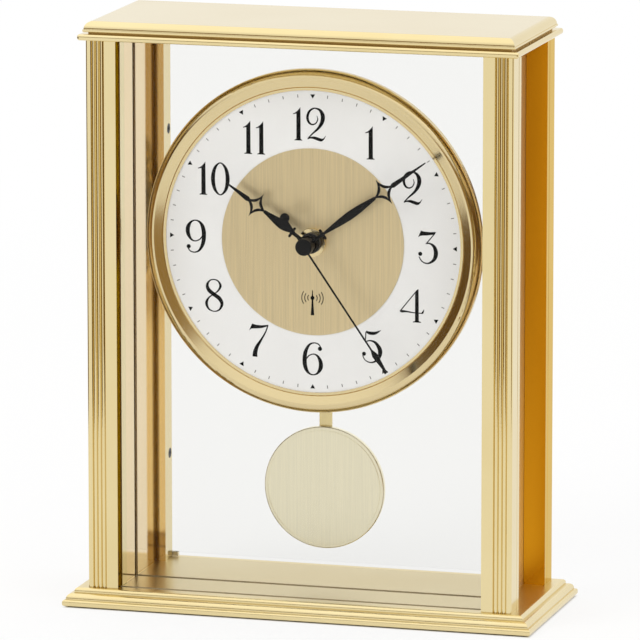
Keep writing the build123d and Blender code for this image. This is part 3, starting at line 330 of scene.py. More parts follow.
def metal(name, light, dark, rough, grain, stretch, bump, brushed=False, tone=None, dull=None):
    """Metal with a fine grain along a stretched noise; brushed metal is coloured along the grain too. Where
    they are given, the faces of a tone's mask get painted shade or reflection tones across them and the faces
    of a dull mask are rougher"""
    material, tree, shader = new_material(name)
    lines = object_noise(tree, grain, stretch)
    colour = colour_between(tree, lines if brushed else object_noise(tree, METAL_CLOUDS), dark, light)
    if tone is not None:
        mask, shades = tone
        colour = blend(tree, mask(tree), colour, shaded(tree, *shades))
    roughness = value_between(tree, lines, *rough)
    if dull is not None:
        mask, dull_rough = dull
        roughness = math_node(tree, "MAXIMUM", roughness, math_node(tree, "MULTIPLY", mask(tree), dull_rough))
    set_inputs(tree, shader, Metallic=1.0, Base_Color=colour, Roughness=roughness)
    bump_from(tree, lines, bump, shader)
    return material


def warm_rim(material, tint, mask=None):
    """Tints what metal mirrors towards grazing angles, on all its faces or on those of a mask"""
    tree = material.node_tree
    rim = tree.nodes["Principled BSDF"].inputs["Specular Tint"]
    link_or_set(tree, (*tint, 1) if mask is None else blend(tree, mask(tree), (1, 1, 1), tint), rim)


def lacquer(name, light, dark, rough, grain, bump, shine=0.5):
    """Paint, plastic or rubber with a faint cloud in its colour and a fine surface grain"""
    material, tree, shader = new_material(name)
    speck = object_noise(tree, grain)
    set_inputs(tree, shader, Base_Color=colour_between(tree, object_noise(tree, PAINT_CLOUDS), dark, light),
               Roughness=value_between(tree, speck, *rough), Specular_IOR_Level=shine)
    bump_from(tree, speck, bump, shader)
    return material


def clear_pane(name, tint, shine, edge, foot, seat):
    """Thin clear pane that mirrors a little towards grazing angles, with dull upright edges and a dull foot
    below the height where it is seated, both coloured as painted shade and reflection"""
    material, tree, shader = new_material(name)
    in_seat = math_node(tree, "LESS_THAN", place_along(tree, "Z"), seat)
    worn = value_between(tree, object_noise(tree, 900.0), 0.4, 0.6)
    set_inputs(tree, shader, Base_Color=blend(tree, in_seat, edge, foot), Roughness=worn,
               Specular_IOR_Level=0.1)
    through = set_up(tree, "ShaderNodeBsdfTransparent", Color=(*tint, 1))
    mirror = set_up(tree, "ShaderNodeBsdfGlossy", Color=(0.9, 0.9, 0.9, 1), Roughness=0.02)
    rim = set_up(tree, "ShaderNodeLayerWeight", Blend=0.08)
    share = value_between(tree, rim.outputs["Fresnel"], shine, 0.35)
    clear = mix_shaders(tree, share, through.outputs["BSDF"], mirror.outputs["BSDF"])
    dull = math_node(tree, "MAXIMUM", in_seat, looks_aside(tree))
    whole = mix_shaders(tree, dull, clear, shader.outputs["BSDF"])
    tree.links.new(whole, tree.nodes["Material Output"].inputs["Surface"])
    return material


def wound_wire(name, light, dark, turns_per_metre, core=None, winding_half=0.0):
    """Enamelled wire in turns along X, darker between the turns as painted shade, with a bare core beyond the
    winding where a core is named
    """
    material, tree, shader = new_material(name)
    coords = tree.nodes.new("ShaderNodeTexCoord")
    wave = set_up(tree, "ShaderNodeTexWave", Vector=coords.outputs["Object"], Scale=turns_per_metre)
    wave.bands_direction = "X"
    turns = wave.outputs["Fac"]
    colour = colour_between(tree, turns, dark, light)
    if core is not None:
        beyond = math_node(tree, "GREATER_THAN", away(tree, "X"), winding_half)
        colour = blend(tree, beyond, colour, core)
    set_inputs(tree, shader, Metallic=0.6, Base_Color=colour,
               Roughness=value_between(tree, turns, 0.45, 0.25))
    return material


def cell_wrap(name, body, cap, split_x):
    """Battery wrap with a coloured end, split along X"""
    material, tree, shader = new_material(name)
    cloud = object_noise(tree, 120.0)
    tones = [colour_between(tree, cloud, scaled(tone, 0.9), tone) for tone in (body, cap)]
    on_cap = math_node(tree, "GREATER_THAN", place_along(tree, "X"), split_x)
    set_inputs(tree, shader, Metallic=0.3, Base_Color=blend(tree, on_cap, *tones),
               Roughness=value_between(tree, cloud, 0.25, 0.38))
    return material


def seen_ray(tree):
    """One for rays from the camera, mirrors and glass, nought for the rest"""
    path = tree.nodes.new("ShaderNodeLightPath")
    mirrors = math_node(tree, "MAXIMUM", path.outputs["Is Glossy Ray"], path.outputs["Is Transmission Ray"])
    return math_node(tree, "MAXIMUM", path.outputs["Is Camera Ray"], mirrors)


def dress(nodes, material):
    """Gives CAD nodes their finish"""
    for name in nodes:
        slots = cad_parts[name].data.materials
        slots.clear()
        slots.append(material)


# Meshes

def piece_from_mesh(name, mesh, material, body):
    """Adds a finished mesh as a piece of the clock that rides on a body"""
    mesh.materials.clear()
    mesh.materials.append(material)
    piece = bpy.data.objects.new(name, mesh)
    bpy.context.scene.collection.objects.link(piece)
    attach(piece, body)
    return piece


def smooth_stroke(points, closed, steps=9):
    """Points of a pen stroke on a Catmull-Rom curve through (x, y, width) stations"""
    count = len(points)
    spans = count if closed else count - 1
    out = []
    for n in range(spans):
        if closed:
            p0, p1, p2, p3 = (Vector(points[(n + k) % count]) for k in (-1, 0, 1, 2))
        else:
            p1, p2 = Vector(points[n]), Vector(points[n + 1])
            p0 = Vector(points[n - 1]) if n > 0 else 2 * p1 - p2
            p3 = Vector(points[n + 2]) if n + 2 < count else 2 * p2 - p1
        for k in range(steps):
            t = k / steps
            out.append(0.5 * (2 * p1 + (p2 - p0) * t + (2 * p0 - 5 * p1 + 4 * p2 - p3) * t * t
                              + (3 * p1 - p0 - 3 * p2 + p3) * t * t * t))
    if not closed:
        out.append(Vector(points[-1]))
    return out


def add_prism(bm, front, back):
    """Closed flat prism between two rings of points"""
    count = len(front)
    upper = [bm.verts.new(p) for p in front]
    lower = [bm.verts.new(p) for p in back]
    bm.faces.new(upper)
    bm.faces.new(list(reversed(lower)))
    for n in range(count):
        m = (n + 1) % count
        bm.faces.new((upper[m], upper[n], lower[n], lower[m]))


def add_ribbon(bm, left, right, closed, place):
    """Closed ribbon of even depth between a left and a right edge"""
    count = len(left)
    rows = []
    for a, b in zip(left, right):
        rows.append([bm.verts.new(place(p, deep)) for deep in (0, 1) for p in (a, b)])
    pairs = count if closed else count - 1
    for n in range(pairs):
        l0, r0, dl0, dr0 = rows[n]
        l1, r1, dl1, dr1 = rows[(n + 1) % count]
        bm.faces.new((l0, l1, r1, r0))
        bm.faces.new((dl0, dr0, dr1, dl1))
        bm.faces.new((l0, dl0, dl1, l1))
        bm.faces.new((r0, r1, dr1, dr0))
    if not closed:
        for row, flip in ((rows[0], False), (rows[-1], True)):
            corners = (row[0], row[1], row[3], row[2])
            bm.faces.new(corners if not flip else tuple(reversed(corners)))


def add_stroke(bm, points, closed, place):
    """Pen stroke of varying width"""
    path = smooth_stroke(points, closed)
    left, right = [], []
    for n, here in enumerate(path):
        ahead = path[(n + 1) % len(path)] if closed or n + 1 < len(path) else here
        behind = path[n - 1] if closed or n > 0 else here
        along = Vector((ahead.x - behind.x, ahead.y - behind.y)).normalized()
        across = Vector((-along.y, along.x)) * here.z / 2
        middle = Vector((here.x, here.y))
        left.append(middle + across)
        right.append(middle - across)
    add_ribbon(bm, left, right, closed, place)


def add_patch(bm, outline, place):
    """Filled outline"""
    flat = [Vector(p) for p in outline]
    add_prism(bm, [place(p, 0) for p in flat], [place(p, 1) for p in flat])


def add_blob(bm, x, y, radius, place, corners=20):
    """Round ball end of a stroke"""
    turns = [2 * math.pi * n / corners for n in range(corners)]
    add_patch(bm, [(x + radius * math.cos(a), y + radius * math.sin(a)) for a in turns], place)


def finished_mesh(name, bm):
    """Mesh with its faces turned outwards"""
    bmesh.ops.recalc_face_normals(bm, faces=bm.faces)
    mesh = bpy.data.meshes.new(name)
    bm.to_mesh(mesh)
    bm.free()
    return mesh


def flat_sheet(name, corners, material):
    """One flat face as an object"""
    bm = bmesh.new()
    bm.faces.new([bm.verts.new(p) for p in corners])
    mesh = bpy.data.meshes.new(name)
    bm.to_mesh(mesh)
    bm.free()
    mesh.materials.append(material)
    sheet = bpy.data.objects.new(name, mesh)
    bpy.context.scene.collection.objects.link(sheet)
    return sheet


# Numerals, drawn in a box one unit high: strokes are (x, y, width) stations

SIX = [(0.585, 0.830, 0.030), (0.50, 0.950, 0.036), (0.36, 0.985, 0.036), (0.21, 0.915, 0.065),
       (0.095, 0.69, 0.115), (0.07, 0.42, 0.130), (0.105, 0.21, 0.115), (0.20, 0.065, 0.065),
       (0.335, 0.018, 0.036), (0.47, 0.075, 0.065), (0.565, 0.24, 0.125), (0.56, 0.43, 0.115),
       (0.465, 0.595, 0.062), (0.345, 0.645, 0.036), (0.21, 0.595, 0.036), (0.115, 0.485, 0.036)]
SIX_BALL = (0.545, 0.815, 0.064)
SIX_WIDTH = 0.64

NUMERALS = {
    "0": {"width": 0.585, "rings": [[(0.065, 0.5, 0.125), (0.125, 0.18, 0.09), (0.292, 0.02, 0.036),
                                     (0.46, 0.18, 0.09), (0.52, 0.5, 0.125), (0.46, 0.82, 0.09),
                                     (0.292, 0.98, 0.036), (0.125, 0.82, 0.09)]]},
    "1": {"width": 0.30, "patches": [[(0.045, 0), (0.285, 0), (0.285, 0.018), (0.235, 0.045), (0.228, 1.0),
                                      (0.195, 0.955), (0.13, 0.88), (0.06, 0.825), (0.0, 0.805),
                                      (0.008, 0.78), (0.06, 0.792), (0.105, 0.80), (0.105, 0.045),
                                      (0.045, 0.018)]]},
    "2": {"width": 0.61, "strokes": [[(0.335, 0.765, 0.014), (0.36, 0.65, 0.030), (0.30, 0.535, 0.036),
                                      (0.19, 0.495, 0.045), (0.09, 0.555, 0.065), (0.045, 0.70, 0.078),
                                      (0.09, 0.865, 0.07), (0.20, 0.965, 0.05), (0.30, 0.982, 0.042),
                                      (0.435, 0.925, 0.08), (0.515, 0.77, 0.125), (0.495, 0.58, 0.115),
                                      (0.38, 0.39, 0.075), (0.20, 0.22, 0.045), (0.055, 0.07, 0.030)],
                                     [(0.05, 0.055, 0.02), (0.14, 0.095, 0.045), (0.25, 0.098, 0.082),
                                      (0.37, 0.065, 0.095), (0.47, 0.042, 0.085), (0.55, 0.085, 0.035),
                                      (0.605, 0.17, 0.012)]]},
    "3": {"width": 0.64, "strokes": [[(0.55, 0.945, 0.030), (0.275, 0.615, 0.030)],
                                     [(0.265, 0.622, 0.030), (0.40, 0.625, 0.048), (0.53, 0.52, 0.10),
                                      (0.575, 0.335, 0.130), (0.515, 0.145, 0.095), (0.34, 0.03, 0.045),
                                      (0.16, 0.075, 0.034), (0.055, 0.22, 0.030)]],
          "patches": [[(0.03, 0.80), (0.115, 1.0), (0.21, 0.978), (0.40, 0.968), (0.585, 0.985),
                       (0.535, 0.93), (0.50, 0.90), (0.30, 0.865), (0.17, 0.858), (0.10, 0.845)]],
          "balls": [(0.095, 0.305, 0.062)]},
    "4": {"width": 0.75, "strokes": [[(0.535, 0.975, 0.030), (0.03, 0.345, 0.030)],
                                     [(0.0, 0.335, 0.02), (0.06, 0.318, 0.075), (0.20, 0.318, 0.05),
                                      (0.42, 0.292, 0.032), (0.65, 0.285, 0.03), (0.70, 0.30, 0.055),
                                      (0.745, 0.40, 0.014)]],
          "patches": [[(0.40, 0), (0.655, 0), (0.655, 0.018), (0.585, 0.045), (0.575, 1.0), (0.545, 1.0),
                       (0.47, 0.86), (0.47, 0.045), (0.40, 0.018)]]},
    "5": {"width": 0.62, "strokes": [[(0.118, 0.92, 0.032), (0.10, 0.625, 0.030)],
                                     [(0.12, 0.945, 0.045), (0.235, 0.90, 0.095), (0.38, 0.90, 0.092),
                                      (0.49, 0.945, 0.055), (0.575, 0.998, 0.012)],
                                     [(0.10, 0.632, 0.030), (0.25, 0.672, 0.040), (0.42, 0.61, 0.08),
                                      (0.555, 0.39, 0.130), (0.515, 0.165, 0.098), (0.37, 0.035, 0.05),
                                      (0.22, 0.018, 0.034), (0.085, 0.09, 0.030), (0.02, 0.215, 0.030)]],
          "balls": [(0.06, 0.265, 0.060)]},
    "6": {"width": SIX_WIDTH, "strokes": [SIX], "balls": [SIX_BALL]},
    "7": {"width": 0.64, "strokes": [[(0.605, 0.965, 0.036), (0.53, 0.76, 0.042), (0.40, 0.53, 0.062),
                                      (0.265, 0.31, 0.105), (0.21, 0.14, 0.135), (0.20, 0.0, 0.150)]],
          "patches": [[(0.02, 0.79), (0.115, 1.0), (0.22, 0.968), (0.40, 0.958), (0.622, 0.988), (0.60, 0.94),
                       (0.42, 0.878), (0.22, 0.855), (0.10, 0.85)]]},
    "8": {"width": 0.60, "rings": [[(0.30, 0.525, 0.115), (0.135, 0.655, 0.115), (0.085, 0.80, 0.085),
                                    (0.155, 0.935, 0.045), (0.29, 0.982, 0.032), (0.425, 0.935, 0.045),
                                    (0.495, 0.80, 0.075), (0.43, 0.655, 0.05), (0.30, 0.545, 0.032),
                                    (0.13, 0.42, 0.05), (0.06, 0.25, 0.085), (0.135, 0.08, 0.05),
                                    (0.30, 0.018, 0.032), (0.46, 0.075, 0.05), (0.54, 0.25, 0.095),
                                    (0.465, 0.41, 0.12)]]},
    "9": {"width": SIX_WIDTH, "strokes": [[(SIX_WIDTH - x, 1 - y, w) for x, y, w in SIX]],
          "balls": [(SIX_WIDTH - SIX_BALL[0], 1 - SIX_BALL[1], SIX_BALL[2])]},
}
NUMERAL_GAP = 0.10

# Sideways shifts, in metres, that set single hours evenly to the eye
NUMERAL_SHIFTS = {5: 0.0009, 7: 0.0012, 9: -0.0012, 11: -0.0005, 12: -0.0013}


def add_numeral(bm, text, centre_x, centre_z, height, front, depth):
    """Draws the figures of one hour upright about a centre"""
    total = sum(NUMERALS[c]["width"] for c in text) + NUMERAL_GAP * (len(text) - 1)
    left = -total / 2
    for figure in text:
        shape = NUMERALS[figure]
        start = left

        def place(p, deep):
            return Vector((centre_x + (start + p.x) * height, front + (deep - 1) * depth,
                           centre_z + (p.y - 0.5) * height))

        for points in shape.get("strokes", []):
            add_stroke(bm, points, False, place)
        for points in shape.get("rings", []):
            add_stroke(bm, points, True, place)
        for outline in shape.get("patches", []):
            add_patch(bm, outline, place)
        for x, y, radius in shape.get("balls", []):
            add_blob(bm, x, y, radius, place)
        left += shape["width"] + NUMERAL_GAP


# Geometry node trees

def new_node_tree(name, inputs):
    """Empty geometry tree with named inputs, given as (name, socket type, default)"""
    tree = bpy.data.node_groups.new(name, "GeometryNodeTree")
    tree.interface.new_socket(name="Geometry", in_out="OUTPUT", socket_type="NodeSocketGeometry")
    for label, kind, default in inputs:
        socket = tree.interface.new_socket(name=label, in_out="INPUT", socket_type=kind)
        if default is not None:
            socket.default_value = default
    source = tree.nodes.new("NodeGroupInput")
    sink = tree.nodes.new("NodeGroupOutput")
    return tree, source.outputs, sink.inputs["Geometry"]


def mark_ring_tree(name, corners):
    """Ring of flat marks that point at the centre: blocks, or prisms with the given corners"""
    tree, given, result = new_node_tree(name, [
        ("Count", "NodeSocketInt", 12), ("Radius", "NodeSocketFloat", 0.05),
        ("Length", "NodeSocketFloat", 0.001), ("Width", "NodeSocketFloat", 0.001),
        ("Depth", "NodeSocketFloat", 0.0001), ("Leave Out Every", "NodeSocketInt", 0),
        ("Material", "NodeSocketMaterial", None)])
    ring = set_up(tree, "GeometryNodeMeshCircle", Vertices=given["Count"], Radius=given["Radius"])
    points = set_up(tree, "GeometryNodeMeshToPoints", Mesh=ring.outputs["Mesh"])
    index = tree.nodes.new("GeometryNodeInputIndex")
    left_over = math_node(tree, "MODULO", index.outputs["Index"], given["Leave Out Every"])
    on_hour = math_node(tree, "LESS_THAN", left_over, 0.5)
    left_out = math_node(tree, "GREATER_THAN", given["Leave Out Every"], 0.5)
    dropped = math_node(tree, "MULTIPLY", on_hour, left_out)
    kept = set_up(tree, "GeometryNodeDeleteGeometry", Geometry=points.outputs["Points"], Selection=dropped)
    position = tree.nodes.new("GeometryNodeInputPosition")
    parts = set_up(tree, "ShaderNodeSeparateXYZ", Vector=position.outputs["Position"])
    turn = math_node(tree, "ARCTAN2", parts.outputs["Y"], parts.outputs["X"])
    if corners:
        turn = math_node(tree, "ADD", turn, math.pi)
        mark = set_up(tree, "GeometryNodeMeshCylinder", Vertices=corners, Radius=given["Length"],
                      Depth=given["Depth"])
    else:
        size = set_up(tree, "ShaderNodeCombineXYZ", X=given["Length"], Y=given["Width"], Z=given["Depth"])
        mark = set_up(tree, "GeometryNodeMeshCube", Size=size.outputs["Vector"])
    spin = set_up(tree, "ShaderNodeCombineXYZ", Z=turn)
    stamped = set_up(tree, "GeometryNodeInstanceOnPoints", Points=kept.outputs["Geometry"],
                     Instance=mark.outputs["Mesh"], Rotation=spin.outputs["Vector"])
    solid = set_up(tree, "GeometryNodeRealizeInstances", Geometry=stamped.outputs["Instances"])
    inked = set_up(tree, "GeometryNodeSetMaterial", Geometry=solid.outputs["Geometry"],
                   Material=given["Material"])
    tree.links.new(inked.outputs["Geometry"], result)
    return tree


def screw_pair_tree(name):
    """Two screws on a line along X, heads up, each with a cross recess and a shank"""
    tree, given, result = new_node_tree(name, [
        ("Spread", "NodeSocketFloat", 0.05), ("Head Radius", "NodeSocketFloat", 0.002),
        ("Head Height", "NodeSocketFloat", 0.001), ("Shank Radius", "NodeSocketFloat", 0.001),
        ("Shank Length", "NodeSocketFloat", 0.006), ("Recess Width", "NodeSocketFloat", 0.0004),
        ("Recess Depth", "NodeSocketFloat", 0.0004), ("Material", "NodeSocketMaterial", None)])
    head = set_up(tree, "GeometryNodeMeshCylinder", Vertices=40, Radius=given["Head Radius"],
                  Depth=given["Head Height"])
    recess_length = math_node(tree, "MULTIPLY", given["Head Radius"], 1.25)
    recess_z = math_node(tree, "MULTIPLY", given["Head Height"], 0.5)
    recess_high = math_node(tree, "MULTIPLY", given["Recess Depth"], 2.0)
    recess_place = set_up(tree, "ShaderNodeCombineXYZ", Z=recess_z)
    slots = []
    for x, y in ((recess_length, given["Recess Width"]), (given["Recess Width"], recess_length)):
        size = set_up(tree, "ShaderNodeCombineXYZ", X=x, Y=y, Z=recess_high)
        slot = set_up(tree, "GeometryNodeMeshCube", Size=size.outputs["Vector"])
        raised = set_up(tree, "GeometryNodeTransform", Geometry=slot.outputs["Mesh"],
                        Translation=recess_place.outputs["Vector"])
        slots.append(raised.outputs["Geometry"])
    cut = tree.nodes.new("GeometryNodeMeshBoolean")
    cut.operation = "DIFFERENCE"
    tree.links.new(head.outputs["Mesh"], cut.inputs["Mesh 1"])
    for slot in slots:
        tree.links.new(slot, cut.inputs["Mesh 2"])
    shank = set_up(tree, "GeometryNodeMeshCylinder", Vertices=24, Radius=given["Shank Radius"],
                   Depth=given["Shank Length"])
    reach = math_node(tree, "ADD", given["Shank Length"], given["Head Height"])
    drop = set_up(tree, "ShaderNodeCombineXYZ", Z=math_node(tree, "MULTIPLY", reach, -0.5))
    lowered = set_up(tree, "GeometryNodeTransform", Geometry=shank.outputs["Mesh"],
                     Translation=drop.outputs["Vector"])
    screw = tree.nodes.new("GeometryNodeJoinGeometry")
    tree.links.new(cut.outputs["Mesh"], screw.inputs["Geometry"])
    tree.links.new(lowered.outputs["Geometry"], screw.inputs["Geometry"])
    start = set_up(tree, "ShaderNodeCombineXYZ", X=math_node(tree, "MULTIPLY", given["Spread"], -0.5))
    step = set_up(tree, "ShaderNodeCombineXYZ", X=given["Spread"])
    line = set_up(tree, "GeometryNodeMeshLine", Count=2, Start_Location=start.outputs["Vector"],
                  Offset=step.outputs["Vector"])
    stamped = set_up(tree, "GeometryNodeInstanceOnPoints", Points=line.outputs["Mesh"],
                     Instance=screw.outputs["Geometry"])
    solid = set_up(tree, "GeometryNodeRealizeInstances", Geometry=stamped.outputs["Instances"])
    coated = set_up(tree, "GeometryNodeSetMaterial", Geometry=solid.outputs["Geometry"],
                    Material=given["Material"])
    tree.links.new(coated.outputs["Geometry"], result)
    return tree


def mesh_from_tree(name, tree, values, place):
    """Plain mesh of a geometry tree with its inputs set, moved to its place"""
    holder = bpy.data.objects.new(name, bpy.data.meshes.new(name))
    bpy.context.scene.collection.objects.link(holder)
    modifier = holder.modifiers.new(name, "NODES")
    modifier.node_group = tree
    for item in tree.interface.items_tree:
        if item.in_out == "INPUT" and item.name in values:
            modifier[item.identifier] = values[item.name]
    bpy.context.view_layer.update()
    evaluated = holder.evaluated_get(bpy.context.evaluated_depsgraph_get())
    mesh = bpy.data.meshes.new_from_object(evaluated)
    mesh.transform(place)
    holder.modifiers.clear()
    bpy.data.objects.remove(holder)
    return mesh


def joined_mesh(name, meshes):
    """One mesh from several"""
    bm = bmesh.new()
    for mesh in meshes:
        bm.from_mesh(mesh)
        bpy.data.meshes.remove(mesh)
    mesh = bpy.data.meshes.new(name)
    bm.to_mesh(mesh)
    bm.free()
    return mesh


def width_at(node, height, reach=0.003):
    """Width of a CAD node's points near a height"""
    across = [v.co.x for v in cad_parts[node].data.vertices if abs(v.co.z - height) < reach]
    return max(across) - min(across)


def facing_dial(y):
    """Turns a mesh made flat on XY to face the front at a given depth, about the dial's centre"""
    return Matrix.Translation((dial_axis.x, y, dial_axis.z)) @ Matrix.Rotation(math.radians(90), 4, "X")


# Operators

class CLOCK_OT_gold_case(Operator):
    """Polish the pillars, panels, base, top and lid"""
    bl_idname = "clock.gold_case"
    bl_label = "Gold case"

    def execute(self, context):
        look = context.scene.clock_finish
        light, shade = look.gold, look.gold_shade
        upright_grain = {"rough": (0.06, 0.13), "grain": 90.0, "stretch": (6, 6, 0.25), "bump": 0.03}
        level_grain = {"grain": 60.0, "stretch": (0.4, 5, 5), "bump": 0.008}
        level_rough = 0.30
        # Inner sides of the front pillars before the front glass get painted shade and a brown tint in what
        # they mirror
        reveal_margin = 0.0003
        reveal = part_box("pillar_front_right")[0].x + reveal_margin
        sides = inner_sides(reveal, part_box("front_glass")[0].y)
        drawn = metal("polished_gold_drawn", light, shade, **upright_grain,
                      tone=(sides, (0.0, look.reveal_shade, reveal, scaled(look.reveal_shade, 0.9))))
        warm_rim(drawn, (0.80, 0.60, 0.28), sides)
        rolled = metal("polished_gold_rolled", (0.87, 0.685, 0.40), (0.84, 0.65, 0.37), rough=(0.05, 0.11),
                       grain=80.0, stretch=(6, 6, 0.2), bump=0.02, dull=(looks_out, 0.50))
        panel_low, panel_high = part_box("side_panel_right")
        # Front faces of the rear pillars: painted shade by the side panel, passing to a painted orange
        # reflection further out
        rear = metal("polished_gold_rear", light, shade, **upright_grain,
                     tone=(looks_front, (panel_low.x, look.jamb_shade, panel_high.x, look.deep_gold)))
        warm_rim(rear, (0.85, 0.66, 0.36))
        # Front faces of the door jambs: painted light on the inner side passing to painted shade at the outer
        # side, by the pillar
        jamb_low, jamb_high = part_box("door_jamb_right")
        jamb_passage = jamb_low.lerp(jamb_high, 0.6).x
        jamb = metal("polished_gold_jamb", light, shade, **upright_grain,
                     tone=(looks_front, (jamb_passage, look.jamb_gold, jamb_high.x, look.jamb_shade)))
        cast = metal("polished_gold_moulding", light, shade, rough=(0.08, 0.13), **level_grain)
        stepped = metal("polished_gold_base", light, shade, rough=(0.10, 0.16), **level_grain,
                        dull=(looks_up, level_rough))
        fittings = metal("satin_gold_fittings", (0.97, 0.90, 0.70), (0.93, 0.85, 0.64), rough=(0.45, 0.6),
                         grain=60.0, stretch=(5, 5, 0.4), bump=0.04)
        floor = metal("polished_gold_floor", scaled(light, 0.89), scaled(shade, 0.89), rough=(0.10, 0.20),
                      grain=70.0, stretch=(0.4, 6, 6), bump=0.02, dull=(looks_up, level_rough))
        # The spacer's dark gold paints the shade of the gap under the lid
        gap = metal("gap_shade_gold", look.gap_gold, scaled(look.gap_gold, 0.9), rough=(0.25, 0.4), grain=60.0,
                    stretch=(0.4, 5, 5), bump=0.03)
        pad = lacquer("pad_rubber", (0.030, 0.030, 0.028), (0.018, 0.018, 0.018), rough=(0.75, 0.95),
                      grain=900.0, bump=0.35)
        steel = metal("zinc_steel", (0.62, 0.61, 0.58), (0.50, 0.50, 0.49), rough=(0.25, 0.4), grain=200.0,
                      stretch=(1, 1, 1), bump=0.06)
        dress(["pillar_front_left", "pillar_front_right"], drawn)
        dress(["pillar_rear_left", "pillar_rear_right"], rear)
        dress(["door_jamb_left", "door_jamb_right"], jamb)
        dress(["side_panel_left", "side_panel_right"], rolled)
        dress(["top_plate", "top_lid"], cast)
        dress(["door_pivots", "door_knob"], fittings)
        dress(["base_moulding"], stepped)
        dress(["floor_plates"], floor)
        dress(["lid_spacer"], gap)
        dress(["base_pad"], pad)
        dress(["base_screws", "top_screws", "catch_magnet", "catch_plate"], steel)
        return {"FINISHED"}


class CLOCK_OT_panes(Operator):
    """Make the front glass, the dial pane and the rear door clear"""
    bl_idname = "clock.panes"
    bl_label = "Panes"

    def execute(self, context):
        look = context.scene.clock_finish
        pane = clear_pane("clear_pane", look.pane_tint, look.pane_shine, look.pane_edge, look.pane_foot,
                          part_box("floor_plates")[1].z)
        dress(["front_glass", "dial_pane", "rear_door_glass"], pane)
        return {"FINISHED"}


class CLOCK_OT_dial(Operator):
    """Finish the dial, its gold centre, the bezel, the nut and the hands"""
    bl_idname = "clock.dial"
    bl_label = "Dial and hands"

    def execute(self, context):
        look = context.scene.clock_finish
        ivory = context.scene.clock_dial.ivory
        enamel = lacquer("dial_ivory", ivory, scaled(ivory, 0.97), rough=(0.45, 0.6), grain=500.0, bump=0.02)
        satin = metal("brushed_centre", look.satin_gold, scaled(look.satin_gold, 0.88), rough=(0.36, 0.5),
                      grain=240.0, stretch=(8, 1, 0.12), bump=0.12, brushed=True)
        ring = metal("turned_bezel", look.bezel_gold, scaled(look.bezel_gold, 0.96), rough=(0.13, 0.20),
                     grain=40.0, stretch=(1, 1, 1), bump=0.02)
        black = lacquer("hand_black", look.hand_black, scaled(look.hand_black, 1.4), rough=(0.35, 0.5),
                        grain=600.0, bump=0.04, shine=0.15)
        dress(["dial_plate"], enamel)
        dress(["dial_centre"], satin)
        dress(["bezel", "hand_nut"], ring)
        dress(["hour_hand", "minute_hand", "second_hand"], black)
        return {"FINISHED"}


class CLOCK_OT_dial_print(Operator):
    """Print the numerals, the minute ticks, the hour triangles and the signal mark"""
    bl_idname = "clock.dial_print"
    bl_label = "Dial print"

    def execute(self, context):
        dial = context.scene.clock_dial
        black = lacquer("numeral_ink", dial.ink, scaled(dial.ink, 1.3), rough=(0.5, 0.65), grain=700.0,
                        bump=0.03, shine=0.1)
        grey = lacquer("tick_ink", dial.tick_ink, scaled(dial.tick_ink, 0.9), rough=(0.5, 0.65), grain=700.0,
                       bump=0.03, shine=0.1)
        bm = bmesh.new()
        for hour in range(1, 13):
            angle = math.radians(30 * hour)
            x = dial_axis.x + dial.numeral_ring * math.sin(angle) + NUMERAL_SHIFTS.get(hour, 0)
            z = dial_axis.z + dial.numeral_ring * math.cos(angle)
            add_numeral(bm, str(hour), x, z, dial.numeral_height, dial_front, dial.print_depth)
        piece_from_mesh("dial_numerals", finished_mesh("dial_numerals", bm), black, "case")
        sunk = facing_dial(dial_front - dial.print_depth / 2)
        ticks = mesh_from_tree("minute_ticks", mark_ring_tree("minute_ticks", 0), {
            "Count": dial.minute_count, "Radius": dial.tick_ring, "Length": dial.tick_length,
            "Width": dial.tick_width, "Depth": dial.print_depth, "Leave Out Every": 5,
            "Material": grey}, sunk)
        piece_from_mesh("minute_ticks", ticks, grey, "case")
        marks = mesh_from_tree("hour_triangles", mark_ring_tree("hour_triangles", 3), {
            "Count": 12, "Radius": dial.tick_ring, "Length": dial.hour_mark_size,
            "Depth": dial.print_depth, "Leave Out Every": 0, "Material": black}, sunk)
        piece_from_mesh("hour_triangles", marks, black, "case")
        self.signal_mark(dial, black)
        return {"FINISHED"}

    def signal_mark(self, dial, black):
        """Plain mast with three waves on each side, low on the gold centre"""
        mark_drop = 0.0219
        mast_top = 0.0030
        mast_foot = -0.0068
        ball_radius = 0.0008
        wave_radii = (0.0019, 0.0031, 0.0043)
        wave_angles = (-0.6, -0.3, 0, 0.3, 0.6)
        wave_width = 0.00032
        bm = bmesh.new()

        def place(p, deep):
            return Vector((dial_axis.x + p.x, centre_front + (deep - 1) * dial.print_depth,
                           dial_axis.z - mark_drop + p.y))

        add_stroke(bm, [(0, mast_foot, 0.0014), (0, mast_foot / 2, 0.0009), (0, 0, 0.0006),
                        (0, mast_top, 0.0003)], False, place)
        add_blob(bm, 0, 0, ball_radius, place)
        for radius in wave_radii:
            for side in (0, math.pi):
                arc = [(radius * math.cos(side + a), radius * math.sin(side + a), wave_width)
                       for a in wave_angles]
                add_stroke(bm, arc, False, place)
        piece_from_mesh("signal_mark", finished_mesh("signal_mark", bm), black, "case")


